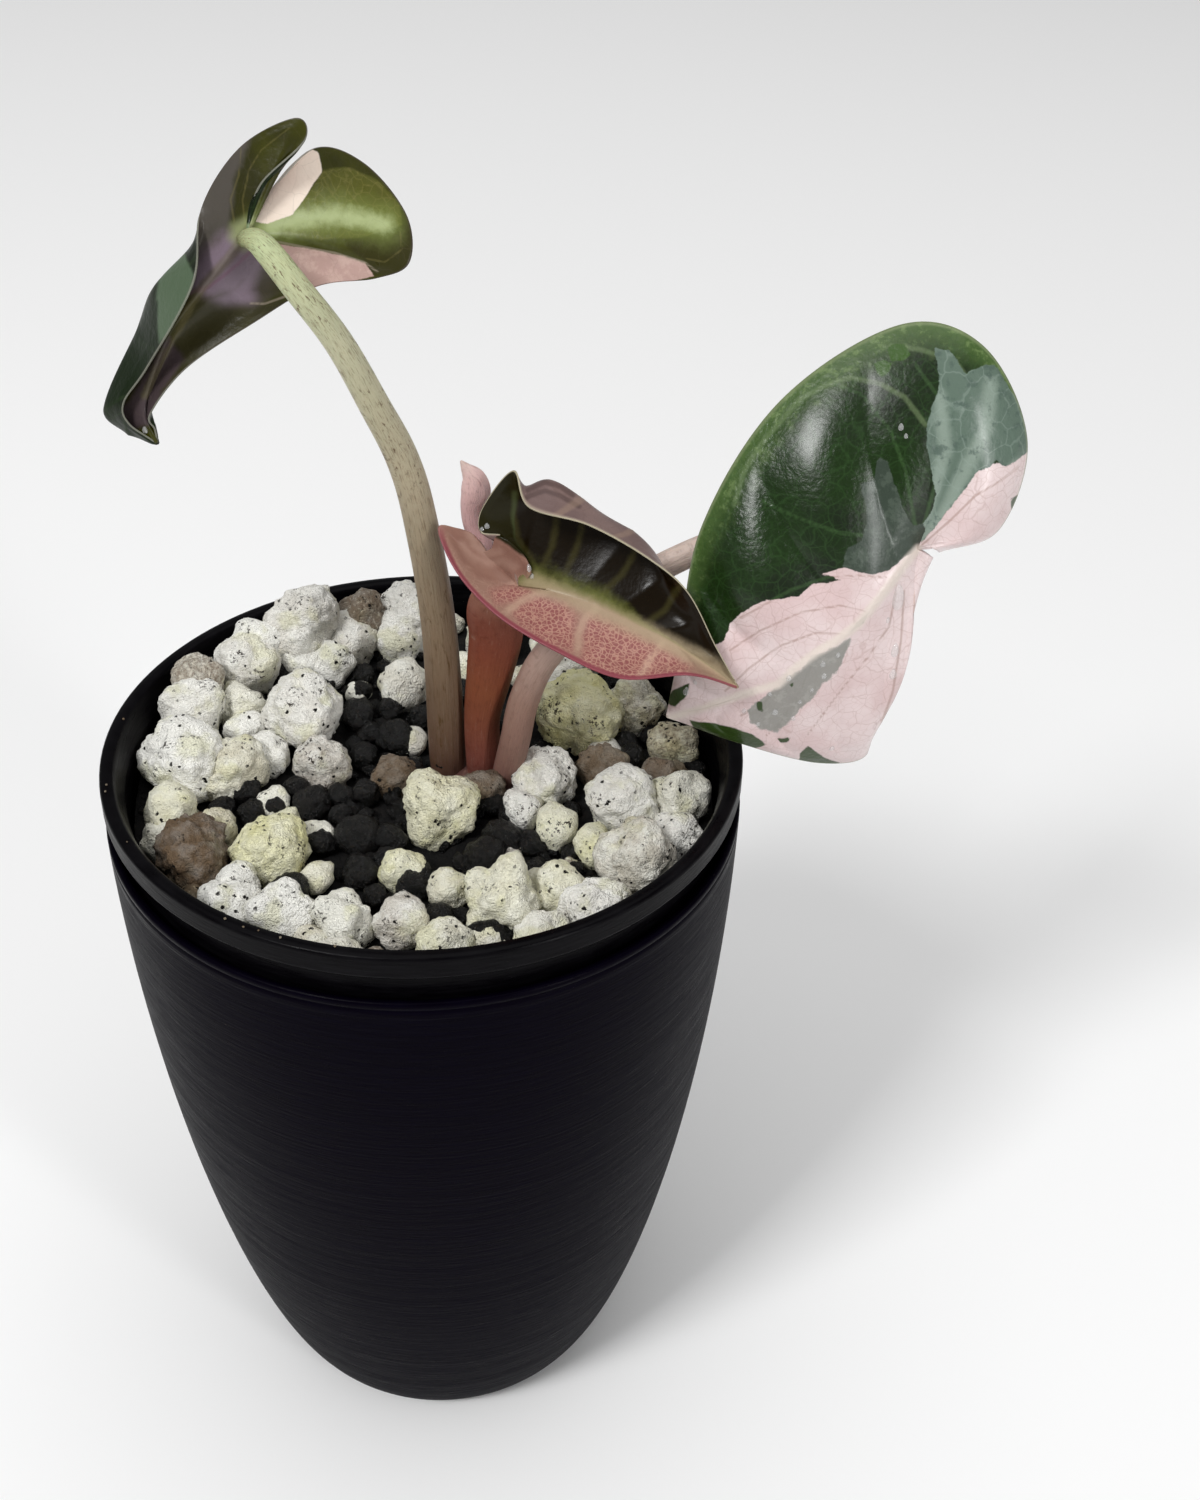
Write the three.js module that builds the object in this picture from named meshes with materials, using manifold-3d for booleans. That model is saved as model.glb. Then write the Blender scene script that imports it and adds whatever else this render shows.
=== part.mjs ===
// Potted balloon heart alocasia: a small aroid with three puffed, pink and green
// leaves and one rolled new leaf, growing in a chunky pumice and black granule mix,
// in a liner pot that hangs inside a rounded, layer-printed outer pot.
// Millimetres, +Z up, origin at the centre of the outer pot's flat base.
// The plant leans to +X and the front of the pot faces -Y.

import * as THREE from "three";
import { mergeVertices } from "three/addons/utils/BufferGeometryUtils.js";
import Module from "manifold-3d";

const wasm = await Module();
wasm.setup();

// Pots
const potSides = 36;
const baseRadius = 29;
const lipRadius = 50;
const lipHeight = 122.7;
const outerWall = 1.3;
const outerFloor = 2.4;
const bellyPower = 1.77;
const bellyEase = 0.69;
const lipBand = 2.3;
const rimTop = 131.2;
const rimFace = 4;
const rimRadius = 50;
const rimInnerRadius = 47.8;
const linerRadius = 47.9;
const linerWall = 1.4;
const linerFloor = 34;
const linerGap = 1;
const footRadius = 15;
const drainRadius = 2.2;
const drainRing = 25;
const drainCount = 6;

// Clearance between neighbouring solids
const gap = 0.3;

// Growing mix
const mixTop = 117.6;
const granuleTop = 120;
const heapSlope = 0.13;
const chunkHeight = 0.9;
const chunkSwell = 0.16;
const chunkDepth = 1.5;
const wellShare = 0.62;
const wallShare = 0.66;
const wideChunk = 10.2;
const middleChunk = 7.2;
const granuleTries = 110;
const granuleSmall = 3;
const granuleSpread = 2.6;
const granuleSwell = 0.1;
const mixSides = 24;
const bedSides = 28;
const bandMean = 29;
const bandSpread = 8;
const bandTurn = (118 * Math.PI) / 180;

// Plant
const bladeThickness = 0.7;
const foldTolerance = 0.02;
const crownCentre = [8.2, 7];
const crownRadius = 7.4;
const crownTop = 121.5;
const crownBottom = 103;
const stalkSides = 10;
const stalkSteps = 22;
const spearForm = { sides: 8, steps: 16 };
const fanRows = 9;
const ribRows = 15;
const halfColumns = 6;

// Colours read from the object
const colours = {
  outerPot: 0x1d1d20,
  innerPot: 0x2b2b2f,
  pumice: 0xd9d6c8,
  granule: 0x26262a,
  crown: 0x8b6a58,
  petioleLeft: 0xa39a7c,
  petioleMiddle: 0x9a5240,
  petioleRight: 0x93756b,
  bladeLeft: 0x5b6444,
  bladeMiddle: 0x8d6257,
  bladeRight: 0x6f8468,
  spear: 0xc9a0a4,
};

// A repeatable random draw from 0 to 1
function makeRandom(seed) {
  let state = seed;
  return () => {
    state = (state * 1664525 + 1013904223) % 4294967296;
    return state / 4294967296;
  };
}

// Triangles that share their corners, with collapsed ones dropped and faces pointing out
function weld(geometry) {
  const bare = new THREE.BufferGeometry();
  bare.setAttribute("position", geometry.getAttribute("position").clone());
  if (geometry.index) bare.setIndex(geometry.index.clone());
  const merged = mergeVertices(bare, 1e-4);
  const corner = Array.from(merged.index.array);
  const kept = [];
  for (let i = 0; i < corner.length; i += 3) {
    const [a, b, c] = corner.slice(i, i + 3);
    if (a !== b && b !== c && c !== a) kept.push(a, b, c);
  }
  merged.setIndex(kept);
  if (signedVolume(merged) < 0) {
    for (let i = 0; i < kept.length; i += 3) {
      [kept[i + 1], kept[i + 2]] = [kept[i + 2], kept[i + 1]];
    }
    merged.setIndex(kept);
  }
  return merged;
}

function signedVolume(geometry) {
  const place = geometry.getAttribute("position");
  const index = geometry.index.array;
  const a = new THREE.Vector3();
  const b = new THREE.Vector3();
  const c = new THREE.Vector3();
  let volume = 0;
  for (let i = 0; i < index.length; i += 3) {
    a.fromBufferAttribute(place, index[i]);
    b.fromBufferAttribute(place, index[i + 1]);
    c.fromBufferAttribute(place, index[i + 2]);
    volume += a.dot(b.cross(c)) / 6;
  }
  return volume;
}

function toSolid(geometry) {
  const welded = weld(geometry);
  const mesh = new wasm.Mesh({
    numProp: 3,
    vertProperties: new Float32Array(welded.getAttribute("position").array),
    triVerts: new Uint32Array(welded.index.array),
  });
  return new wasm.Manifold(mesh);
}

// The largest separate body of a solid, as a geometry
function toGeometry(solid) {
  const bodies = solid.decompose();
  bodies.sort((one, other) => other.volume() - one.volume());
  const mesh = bodies[0].getMesh();
  const geometry = new THREE.BufferGeometry();
  geometry.setAttribute("position", new THREE.BufferAttribute(new Float32Array(mesh.vertProperties), 3));
  geometry.setIndex(new THREE.BufferAttribute(new Uint32Array(mesh.triVerts), 1));
  return geometry;
}

function joinAll(solids) {
  return solids.reduce((whole, next) => whole.add(next));
}

// A solid of revolution about Z from [radius, height] pairs
function turned(profile, sides = potSides) {
  const points = profile.map(([radius, height]) => new THREE.Vector2(radius, height));
  return weld(new THREE.LatheGeometry(points, sides).rotateX(Math.PI / 2));
}

// The outer pot's radius at a height: full at the lip, drawn in to the base
function potRadius(height) {
  const rise = Math.min(1, height / lipHeight);
  return baseRadius + (lipRadius - baseRadius) * (1 - (1 - rise) ** bellyPower) ** bellyEase;
}

// The liner's outside radius: straight below the rim, then inside the outer pot's wall
function linerOuter(height) {
  return Math.min(linerRadius, potRadius(height) - outerWall - linerGap);
}

const wallHeights = [114, 98, 78, 58, 42];

function outerPot() {
  const outside = [4, 10, 18, 29, 44, 64, 88, 108].map((height) => [potRadius(height), height]);
  const inside = [...wallHeights, 29, 17, 8].map((height) => [potRadius(height) - outerWall, height]);
  return turned([
    [0, 0],
    [baseRadius - 0.6, 0],
    [potRadius(0.8), 0.8],
    ...outside,
    [potRadius(lipHeight - lipBand), lipHeight - lipBand - 0.3],
    [lipRadius, lipHeight - lipBand],
    [lipRadius, lipHeight - 0.3],
    [lipRadius - 0.3, lipHeight],
    [lipRadius - 1, lipHeight],
    ...inside,
    [potRadius(outerFloor) - outerWall - 1, outerFloor],
    [0, outerFloor],
  ]);
}

function innerPot() {
  const outside = [...wallHeights].reverse().map((height) => [linerOuter(height), height]);
  const inside = wallHeights.map((height) => [linerOuter(height) - linerWall, height]);
  const shell = turned([
    [0, outerFloor + gap],
    [footRadius - 0.6, outerFloor + gap],
    [footRadius, outerFloor + gap + 0.6],
    [footRadius, linerFloor - linerWall],
    [linerOuter(linerFloor) - 1.5, linerFloor - linerWall],
    [linerOuter(linerFloor + 1), linerFloor + 1],
    ...outside,
    [linerRadius, rimTop - rimFace - 2],
    [linerRadius, rimTop - rimFace],
    [rimRadius - 0.4, rimTop - rimFace],
    [rimRadius, rimTop - rimFace + 0.4],
    [rimRadius, rimTop - 0.4],
    [rimRadius - 0.4, rimTop],
    [rimInnerRadius, rimTop],
    [linerRadius - linerWall, rimTop - rimFace],
    ...inside,
    [linerOuter(linerFloor) - linerWall - 1.5, linerFloor],
    [footRadius - linerWall, linerFloor],
    [footRadius - linerWall, outerFloor + gap + linerWall],
    [0, outerFloor + gap + linerWall],
  ]);
  let solid = toSolid(shell);
  for (let i = 0; i < drainCount; i += 1) {
    const turn = (2 * Math.PI * i) / drainCount;
    const drain = new THREE.CylinderGeometry(drainRadius, drainRadius, 8, 10);
    drain.rotateX(Math.PI / 2);
    drain.translate(drainRing * Math.cos(turn), drainRing * Math.sin(turn), linerFloor);
    solid = solid.subtract(toSolid(drain));
  }
  return toGeometry(solid);
}

// The mix is heaped against the back left of the pot
function heap(x, y) {
  return heapSlope * Math.max(0, y - 0.6 * x - 5);
}

// Raises the flat top of a plug along the heap
function heaped(geometry, fromHeight) {
  const place = geometry.getAttribute("position");
  for (let i = 0; i < place.count; i += 1) {
    if (place.getZ(i) >= fromHeight) {
      place.setZ(i, place.getZ(i) + heap(place.getX(i), place.getY(i)));
    }
  }
  return geometry;
}

// Pumice chunks that show on top: [x, y, z, width]
const chunkPlaces = [
  [-24.5, 32.5, 132, 11], [-31.5, 27.5, 131, 8], [-33, 23.5, 129.5, 10], [-39.5, 16, 131.5, 7],
  [-39.5, 11.5, 128.5, 9], [-38.5, 6, 125, 6], [-14.5, 39, 130, 8.5], [-16, 33.5, 127.5, 9],
  [-7, 40.5, 129.5, 9.5], [-8.5, 36, 127, 9], [-24.5, 28, 127, 7.5], [-18.5, 28, 126.5, 7],
  [-21.5, 14, 126, 12.5], [-6, 24.5, 125, 8], [-32.5, 15, 126, 7.5], [-30.5, 10, 125, 6],
  [-26, 5.5, 124, 6], [-39, 0, 126, 12.5], [-31, 0, 124.5, 10], [-17.5, 3.5, 123.5, 8.5],
  [-38.5, -10, 123.5, 8.5], [-34, -19.5, 123, 11.5], [-22, -18, 123, 11], [2.5, -6.5, 123, 11.5],
  [24, 19, 123.5, 14], [18.5, 2.5, 122.5, 9.5], [8.5, -0.5, 122, 7.5], [-5.5, 3, 122, 6.5],
  [15.5, -5, 122, 6.5], [21, -9, 122, 7], [31, -4, 123, 10.5], [41, -2.5, 123, 9],
  [33.5, -17.5, 123, 11], [40.5, -12, 122.5, 8], [13.5, -28, 123, 11], [21.5, -24.5, 122.5, 8],
  [-9, -32.5, 122.5, 8.5], [-1, -32.5, 122, 8], [-18.5, -31.5, 122.5, 9], [-26, -25.5, 122, 7],
  [27, -13, 121.5, 6.5], [40.5, 11, 123.5, 8], [28, 7, 122, 7], [6, -37, 122, 7.5],
  [30, -31, 122, 10], [36, 25, 122.5, 9.5], [22, 37, 123.5, 11], [8, 39, 124.5, 9],
  [-9, -41.5, 122, 6.5], [-29, -34, 122, 9], [21, -37.5, 122, 8.5], [-42, -16, 122, 6],
];

const chunks = chunkPlaces.map(insideWall);

// More faces on wider lumps
function roundForm(width) {
  if (width > wideChunk) return new THREE.IcosahedronGeometry(1, 1);
  if (width > middleChunk) return new THREE.DodecahedronGeometry(1, 0);
  return new THREE.IcosahedronGeometry(1, 0);
}

// Keeps a lump's centre far enough from the liner's wall
function insideWall([x, y, z, width]) {
  const most = linerRadius - linerWall - gap - wallShare * width;
  const pull = Math.min(1, most / Math.hypot(x, y));
  return [x * pull, y * pull, z, width];
}

// A rounded lump with a few low swellings, about as wide as it says, its foot drawn down to "foot"
function lump([x, y, z, width], seed, swell, foot) {
  const random = makeRandom(seed);
  const phase = [0, 1, 2].map(() => random() * 6);
  const turn = random() * Math.PI;
  const stretch = 0.86 + 0.24 * random();
  const shape = weld(roundForm(width));
  const place = shape.getAttribute("position");
  for (let i = 0; i < place.count; i += 1) {
    const wave =
      Math.sin(2.6 * place.getX(i) + phase[0]) +
      Math.sin(2.3 * place.getY(i) + phase[1]) +
      Math.sin(2.9 * place.getZ(i) + phase[2]);
    const size = 1 + (swell * wave) / 3;
    place.setXYZ(i, place.getX(i) * size, place.getY(i) * size, place.getZ(i) * size);
  }
  const half = width / 2;
  shape.scale(half * stretch, half / stretch, half * chunkHeight);
  const reach = Math.max(1, (z - foot) / (half * chunkHeight));
  for (let i = 0; i < place.count; i += 1) {
    if (place.getZ(i) < 0) place.setZ(i, place.getZ(i) * reach);
  }
  shape.rotateZ(turn);
  shape.translate(x, y, z);
  return shape;
}

function chunkSolids() {
  return chunks.map((chunk, i) => {
    const foot = mixTop + heap(chunk[0], chunk[1]) - chunkDepth;
    return toSolid(lump(chunk, 11 + i, chunkSwell, foot));
  });
}

// Eight-sided wells round the chunks, which keep the bed of granules clear of them
function chunkWell([x, y, z, width]) {
  const radius = wellShare * width + gap;
  const well = new THREE.CylinderGeometry(radius, radius, 24, 8);
  return toSolid(well.rotateX(Math.PI / 2).translate(x, y, z));
}

// The mix below the surface, which fills the liner and its foot
function mixPlug() {
  const side = wallHeights.map((height) => [linerOuter(height) - linerWall - gap, height]);
  const plug = turned([
    [0, outerFloor + linerWall + 2 * gap],
    [footRadius - linerWall - gap, outerFloor + linerWall + 2 * gap],
    [footRadius - linerWall - gap, linerFloor + gap],
    [linerOuter(linerFloor) - linerWall - 2.2, linerFloor + gap],
    ...side.slice().reverse().slice(0, -1),
    [linerOuter(wallHeights[0]) - linerWall - 2 * gap, mixTop],
    [0.66 * linerRadius, mixTop],
    [0.33 * linerRadius, mixTop],
    [0, mixTop],
  ], mixSides);
  return toSolid(heaped(plug, mixTop - 1));
}

// Stations along a curve through hand-set points
function curveThrough(points) {
  const stations = points.map((point) => new THREE.Vector3(...point));
  return new THREE.CatmullRomCurve3(stations, false, "catmullrom", 0.5);
}

// A stalk through hand-set points, with [across, deep] half-widths set at each of them
function stalk(points, halves, { sides = stalkSides, steps = stalkSteps, extra = 0 } = {}) {
  const path = curveThrough(points);
  const sizes = curveThrough(halves.map(([across, deep]) => [across, deep, 0]));
  const depth = new THREE.Vector3(0, 1, 0);
  const positions = [];
  for (let i = 0; i <= steps; i += 1) {
    const centre = path.getPoint(i / steps);
    const along = path.getTangent(i / steps);
    const size = sizes.getPoint(i / steps);
    const acrossWay = new THREE.Vector3().crossVectors(depth, along).normalize();
    const deepWay = new THREE.Vector3().crossVectors(along, acrossWay).normalize();
    for (let j = 0; j < sides; j += 1) {
      const turn = (2 * Math.PI * j) / sides;
      const point = centre.clone();
      point.addScaledVector(acrossWay, (size.x + extra) * Math.cos(turn));
      point.addScaledVector(deepWay, (size.y + extra) * Math.sin(turn));
      positions.push(point.x, point.y, point.z);
    }
  }
  const first = positions.length / 3;
  const start = path.getPoint(0);
  const end = path.getPoint(1);
  positions.push(start.x, start.y, start.z, end.x, end.y, end.z);
  const index = [];
  for (let j = 0; j < sides; j += 1) {
    const next = (j + 1) % sides;
    for (let i = 0; i < steps; i += 1) {
      const low = i * sides;
      const high = low + sides;
      index.push(low + j, low + next, high + next, low + j, high + next, high + j);
    }
    index.push(first, next, j);
    index.push(first + 1, steps * sides + j, steps * sides + next);
  }
  const geometry = new THREE.BufferGeometry();
  geometry.setAttribute("position", new THREE.BufferAttribute(new Float32Array(positions), 3));
  geometry.setIndex(index);
  return weld(geometry);
}

// One side of a blade: the point at "along" from sinus to tip and "out" from rib to margin.
// The first part of "along" fans round the attachment, the rest follows the midrib.
function bladeSide(rib, side, puffWay) {
  const ribCurve = curveThrough(rib);
  const margin = curveThrough(side.margin);
  const crest = side.crest ? curveThrough(side.crest) : null;
  const last = side.margin.length - 1;
  const fan = (side.margin.length - rib.length) / last;
  return (stage, out) => {
    const onRib = Math.max(0, stage);
    const along = stage < 0 ? fan * (1 + stage) : fan + (1 - fan) * stage;
    const inner = ribCurve.getPoint(onRib);
    const outer = margin.getPoint(along);
    let point = inner.clone().lerp(outer, out);
    if (crest) {
      const middle = crest.getPoint(along);
      point = new THREE.CatmullRomCurve3([inner, middle, outer], false, "centripetal").getPoint(out);
    }
    const wave = Math.cos(2 * Math.PI * side.panels * (along - 0.12 * out));
    const hump = 4 * out * (1 - out);
    const lift = side.puff * hump + side.quilt * wave * hump * hump * onRib;
    return point.addScaledVector(puffWay, lift * (1 - onRib ** 4));
  };
}

// A closed blade of even thickness from its midrib and its two sides
function blade({ rib, sides, puffWay }, thickness) {
  const way = new THREE.Vector3(...puffWay).normalize();
  const [right, left] = sides.map((side) => bladeSide(rib, side, way));
  const surface = [];
  for (let row = -fanRows; row <= ribRows; row += 1) {
    const stage = row < 0 ? row / fanRows : row / ribRows;
    for (let column = -halfColumns; column <= halfColumns; column += 1) {
      const out = Math.abs(column) / halfColumns;
      const point = column < 0 ? left(stage, out) : right(stage, out);
      surface.push(point.x, point.y, point.z);
    }
  }
  const width = 2 * halfColumns + 1;
  const rows = fanRows + ribRows;
  const index = [];
  for (let row = 0; row < rows; row += 1) {
    for (let column = 0; column < width - 1; column += 1) {
      const near = row * width + column;
      const far = near + width;
      if (column < halfColumns) index.push(near, near + 1, far + 1, near, far + 1, far);
      else index.push(near, near + 1, far, near + 1, far + 1, far);
    }
  }
  const sheet = new THREE.BufferGeometry();
  sheet.setAttribute("position", new THREE.BufferAttribute(new Float32Array(surface), 3));
  sheet.setIndex(index);
  return thicken(sheet, thickness);
}

// Gives an open sheet a thickness: a wedge over each triangle, all joined, so that
// tight folds don't cross
function thicken(sheet, thickness) {
  const merged = mergeVertices(sheet, 1e-4);
  merged.computeVertexNormals();
  const place = merged.getAttribute("position");
  const normal = merged.getAttribute("normal");
  const corner = Array.from(merged.index.array);
  const wedges = [];
  for (let i = 0; i < corner.length; i += 3) {
    const trio = corner.slice(i, i + 3);
    if (new Set(trio).size < 3) continue;
    const points = [];
    for (const k of trio) {
      for (const half of [thickness / 2, -thickness / 2]) {
        const point = new THREE.Vector3().fromBufferAttribute(normal, k).multiplyScalar(half);
        points.push(point.add(new THREE.Vector3().fromBufferAttribute(place, k)).toArray());
      }
    }
    wedges.push(wasm.Manifold.hull(points));
  }
  return wasm.Manifold.union(wedges).simplify(foldTolerance);
}

// Large blade on the right: upper face to the front, near side falling away below the midrib
const rightBlade = {
  rib: [[73, 2, 167], [71, 0, 166], [66, -4, 160.5], [59, -6, 153], [47.5, -5, 144.5], [37.5, -4, 140]],
  puffWay: [0, -0.8, 0.6],
  sides: [
    {
      margin: [
        [76.5, 3, 166], [85.5, 6, 168.5], [88, 9, 181.5], [80.5, 13, 194], [68.5, 15, 196],
        [52, 11, 185.5], [41.5, 4, 168.5], [39, -2, 151], [37.5, -4, 140],
      ],
      puff: 3.5,
      quilt: 1.6,
      panels: 6,
    },
    {
      margin: [
        [75, 5, 164], [70, 11, 157], [65.5, 13, 150], [65, 12, 141.5], [67, 10, 134],
        [70, 3, 129], [62, 0, 129], [48.5, -4, 135.5], [37.5, -4, 140],
      ],
      crest: [
        [75.3, 3, 165], [74, 3, 159.5], [72.5, 2, 151], [72.5, 1, 145], [71.5, 1, 139],
        [68.5, 0, 134.5], [58.5, -2, 135], [46.5, -4.5, 139.5], [37.5, -4, 140],
      ],
      puff: 1.6,
      quilt: 0.8,
      panels: 6,
    },
  ],
};

// New blade in the middle: a boat with a low near side and a tall far side rolled over
const middleBlade = {
  rib: [[15, -1, 160.5], [21, -3, 161], [27, -5, 160], [33, -7, 158], [38.5, -9, 156], [47.5, -11, 150.5]],
  puffWay: [0, 0.5, -0.85],
  sides: [
    {
      margin: [
        [12, 2, 167.5], [9, 3, 167.5], [9.5, 4, 171], [14, 3, 177.5], [16.5, -3, 175],
        [25, -5, 173.5], [33.5, -6, 169], [39.5, -6, 163.5], [44, -9, 156], [47.5, -11, 150.5],
      ],
      crest: [
        [13, 1, 164.5], [11.5, 2, 165.5], [12, 3, 168], [14.5, 3.5, 171.5], [19, 3, 176.5],
        [26.5, 1, 172.5], [34, -2, 168.5], [38, -6, 161], [42.8, -9.2, 155.3], [47.5, -11, 150.5],
      ],
      puff: 1,
      quilt: 0.8,
      panels: 5,
    },
    {
      margin: [
        [10.5, 3, 163.5], [8, 4, 164.5], [7, 4, 167], [3, 2, 168], [6, -3, 164],
        [12, -8, 160], [20.5, -13, 157.5], [30, -16, 155], [40, -14, 154.5], [47.5, -11, 150.5],
      ],
      puff: 1.2,
      quilt: 0.5,
      panels: 5,
    },
  ],
};

// Hanging blade on the left: under face to the front, outer margin rolled forward
const leftBlade = {
  rib: [
    [-20.5, 1, 212.5], [-22.5, 1.5, 210.5], [-27, 2, 205], [-32.5, 2, 198],
    [-36.5, 1, 189.5], [-37, 0, 186], [-35.5, -1, 182.5],
  ],
  puffWay: [0, 1, 0.2],
  sides: [
    {
      margin: [
        [-20.5, 2, 214], [-16.5, 3, 219], [-12.5, 5, 223.5], [-14, 6, 226], [-21.5, 6, 222],
        [-27.5, 6, 213.5], [-27.5, -3, 207], [-35.5, -1, 194], [-39.5, -1, 188.5],
        [-39, -1.5, 185.5], [-35.5, -1, 182.5],
      ],
      crest: [
        [-20.5, 1.5, 213], [-18.5, 2, 216.5], [-15.5, 4, 220], [-16.5, 4, 221], [-21.5, 4, 217],
        [-25.5, 4, 211], [-34, 4, 203.5], [-38, 5, 196], [-43, 1.5, 186],
        [-39.5, 0, 183.2], [-35.5, -1, 182.5],
      ],
      puff: 0.6,
      quilt: 0.6,
      panels: 5,
    },
    {
      margin: [
        [-19, 5, 215], [-12.5, 9, 221], [-6, 10, 219], [-0.5, 9, 212.5], [0, 6, 207], [-4.5, 5, 205],
        [-12.5, 4, 204], [-21, 2, 199.5], [-30.5, 0, 193.5], [-36, -1, 187],
        [-35.7, -1, 184.5], [-35.5, -1, 182.5],
      ],
      puff: 1.5,
      quilt: 0.6,
      panels: 5,
    },
  ],
};

const leftPetiole = {
  points: [
    [2.5, 9, 116], [2.5, 9, 123], [2, 7, 148.5], [0, 5, 168.5], [-2, 4, 178.5],
    [-5.2, 1, 188.3], [-9, -2, 198.6], [-13.7, -4, 207], [-20.5, 0.3, 213],
  ],
  halves: [
    [2.6, 2.6], [3, 2.8], [2.7, 2.6], [2.5, 2.4], [2.4, 2.3], [2.2, 2.1], [2, 2], [1.9, 1.8], [1.6, 1.5],
  ],
};

const middlePetiole = {
  points: [
    [8.5, 7, 116], [8.5, 7, 123], [8.5, 7, 131], [10, 6, 141], [11, 5, 148], [12.5, 3, 154],
    [14.8, -0.6, 160],
  ],
  halves: [[2.4, 2.4], [2.8, 2.6], [2.9, 2.8], [3.7, 2.9], [4.1, 2.8], [2.8, 2.4], [1.6, 1.5]],
};

const rightPetiole = {
  points: [
    [12.3, 3.6, 116], [12.5, 4, 121], [14, 3, 129.5], [15.5, 3, 137.5], [19, 3, 146], [27, 5, 154],
    [37.5, 8, 160], [47.5, 10, 163.5], [59.5, 10, 165], [68, 6.5, 166.5], [73, 2.4, 167],
  ],
  halves: [
    [2.1, 2.1], [2.4, 2.3], [2.4, 2.3], [2.4, 2.3], [2.3, 2.2], [2.2, 2.1],
    [2.1, 2], [2, 1.9], [1.8, 1.8], [1.6, 1.6], [1.4, 1.4],
  ],
};

const newLeaf = {
  points: [
    [10.5, 7.5, 149], [10, 8.5, 155], [9.5, 9.5, 161], [8.5, 9.5, 168], [7.6, 9, 171.5],
    [6.6, 8.2, 174.5],
  ],
  halves: [[1.2, 1.2], [1.9, 1.7], [2.1, 1.9], [2.1, 1.9], [2, 1.6], [0.35, 0.35]],
};

function petiole({ points, halves }, extra = 0) {
  return toSolid(stalk(points, halves, { extra }));
}

function crown(extra) {
  const shape = turned([
    [0, crownBottom - extra],
    [0.6 * crownRadius + extra, crownBottom + 1],
    [crownRadius + extra, crownBottom + 7],
    [crownRadius + extra, crownTop - 5],
    [0.8 * crownRadius + extra, crownTop - 1 + extra],
    [0, crownTop + extra],
  ], 20);
  return toSolid(shape.translate(crownCentre[0], crownCentre[1], 0));
}

// Blades and the stalks that end against them
const bladeRight = blade(rightBlade, bladeThickness);
const bladeMiddle = blade(middleBlade, bladeThickness);
const bladeLeft = blade(leftBlade, bladeThickness);
const clearOf = (shape) => blade(shape, bladeThickness + 2 * gap);
const spear = toSolid(stalk(newLeaf.points, newLeaf.halves, spearForm));
const spearSeat = toSolid(stalk(newLeaf.points, newLeaf.halves, { ...spearForm, extra: gap }));
const stalkLeft = petiole(leftPetiole).subtract(clearOf(leftBlade));
const stalkRight = petiole(rightPetiole).subtract(clearOf(rightBlade));
const stalkMiddle = petiole(middlePetiole).subtract(clearOf(middleBlade)).subtract(spearSeat);

// Plain holes for the stalks in the crown, and for the plant in the mix
const stalkHoles = joinAll([leftPetiole, middlePetiole, rightPetiole].map((shape) => petiole(shape, gap)));
const crownSolid = crown(0).subtract(stalkHoles);
const plantHole = stalkHoles.add(crown(gap));

// Pumice mix with its chunks, and black granules bedded between the chunks
const mix = joinAll([mixPlug(), ...chunkSolids()]).subtract(plantHole);

// How far the black granules reach from the pot's axis: a band across the middle
function bandReach(turn) {
  return bandMean + bandSpread * Math.cos(2 * (turn - bandTurn));
}

// True where a granule fits between the chunks and the plant
function granuleFits(x, y, size) {
  const clear = chunks.every(([chunkX, chunkY, , width]) => {
    return Math.hypot(x - chunkX, y - chunkY) > wellShare * (width + size);
  });
  return clear && Math.hypot(x - crownCentre[0], y - crownCentre[1]) > crownRadius + 0.7 * size;
}

function granuleBed() {
  const random = makeRandom(5);
  const bottom = mixTop + gap;
  const section = [
    [0, bottom], [0.5, bottom], [1, bottom], [1, granuleTop], [0.5, granuleTop], [0, granuleTop],
  ];
  const slab = turned(section, bedSides);
  const place = slab.getAttribute("position");
  for (let i = 0; i < place.count; i += 1) {
    const size = bandReach(Math.atan2(place.getY(i), place.getX(i)));
    place.setXY(i, place.getX(i) * size, place.getY(i) * size);
  }
  const bed = toSolid(heaped(slab, bottom - 1)).subtract(joinAll(chunks.map(chunkWell)));
  const pieces = [bed.subtract(plantHole)];
  for (let i = 0; i < granuleTries; i += 1) {
    const turn = 2 * Math.PI * random();
    const reach = (bandReach(turn) - 1) * Math.sqrt(random());
    const x = reach * Math.cos(turn);
    const y = reach * Math.sin(turn);
    const size = granuleSmall + granuleSpread * random();
    if (!granuleFits(x, y, size)) continue;
    const centre = granuleTop + heap(x, y) + 0.2 * size;
    pieces.push(toSolid(lump([x, y, centre, size], 200 + i, granuleSwell, granuleTop + heap(x, y) - 1)));
  }
  return joinAll(pieces);
}

function named(name, geometry, colour, roughness) {
  const material = new THREE.MeshStandardMaterial({ color: colour, roughness, metalness: 0 });
  const mesh = new THREE.Mesh(geometry, material);
  mesh.name = name;
  return mesh;
}

const plant = new THREE.Group();
plant.add(named("outer_pot", outerPot(), colours.outerPot, 0.45));
plant.add(named("inner_pot", innerPot(), colours.innerPot, 0.5));
plant.add(named("pumice_fill", toGeometry(mix), colours.pumice, 0.95));
plant.add(named("black_granules", toGeometry(granuleBed()), colours.granule, 0.8));
plant.add(named("stem_base", toGeometry(crownSolid), colours.crown, 0.8));
plant.add(named("petiole_left", toGeometry(stalkLeft), colours.petioleLeft, 0.5));
plant.add(named("petiole_middle", toGeometry(stalkMiddle), colours.petioleMiddle, 0.5));
plant.add(named("petiole_right", toGeometry(stalkRight), colours.petioleRight, 0.5));
plant.add(named("blade_left", toGeometry(bladeLeft), colours.bladeLeft, 0.4));
plant.add(named("blade_middle", toGeometry(bladeMiddle), colours.bladeMiddle, 0.4));
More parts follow.
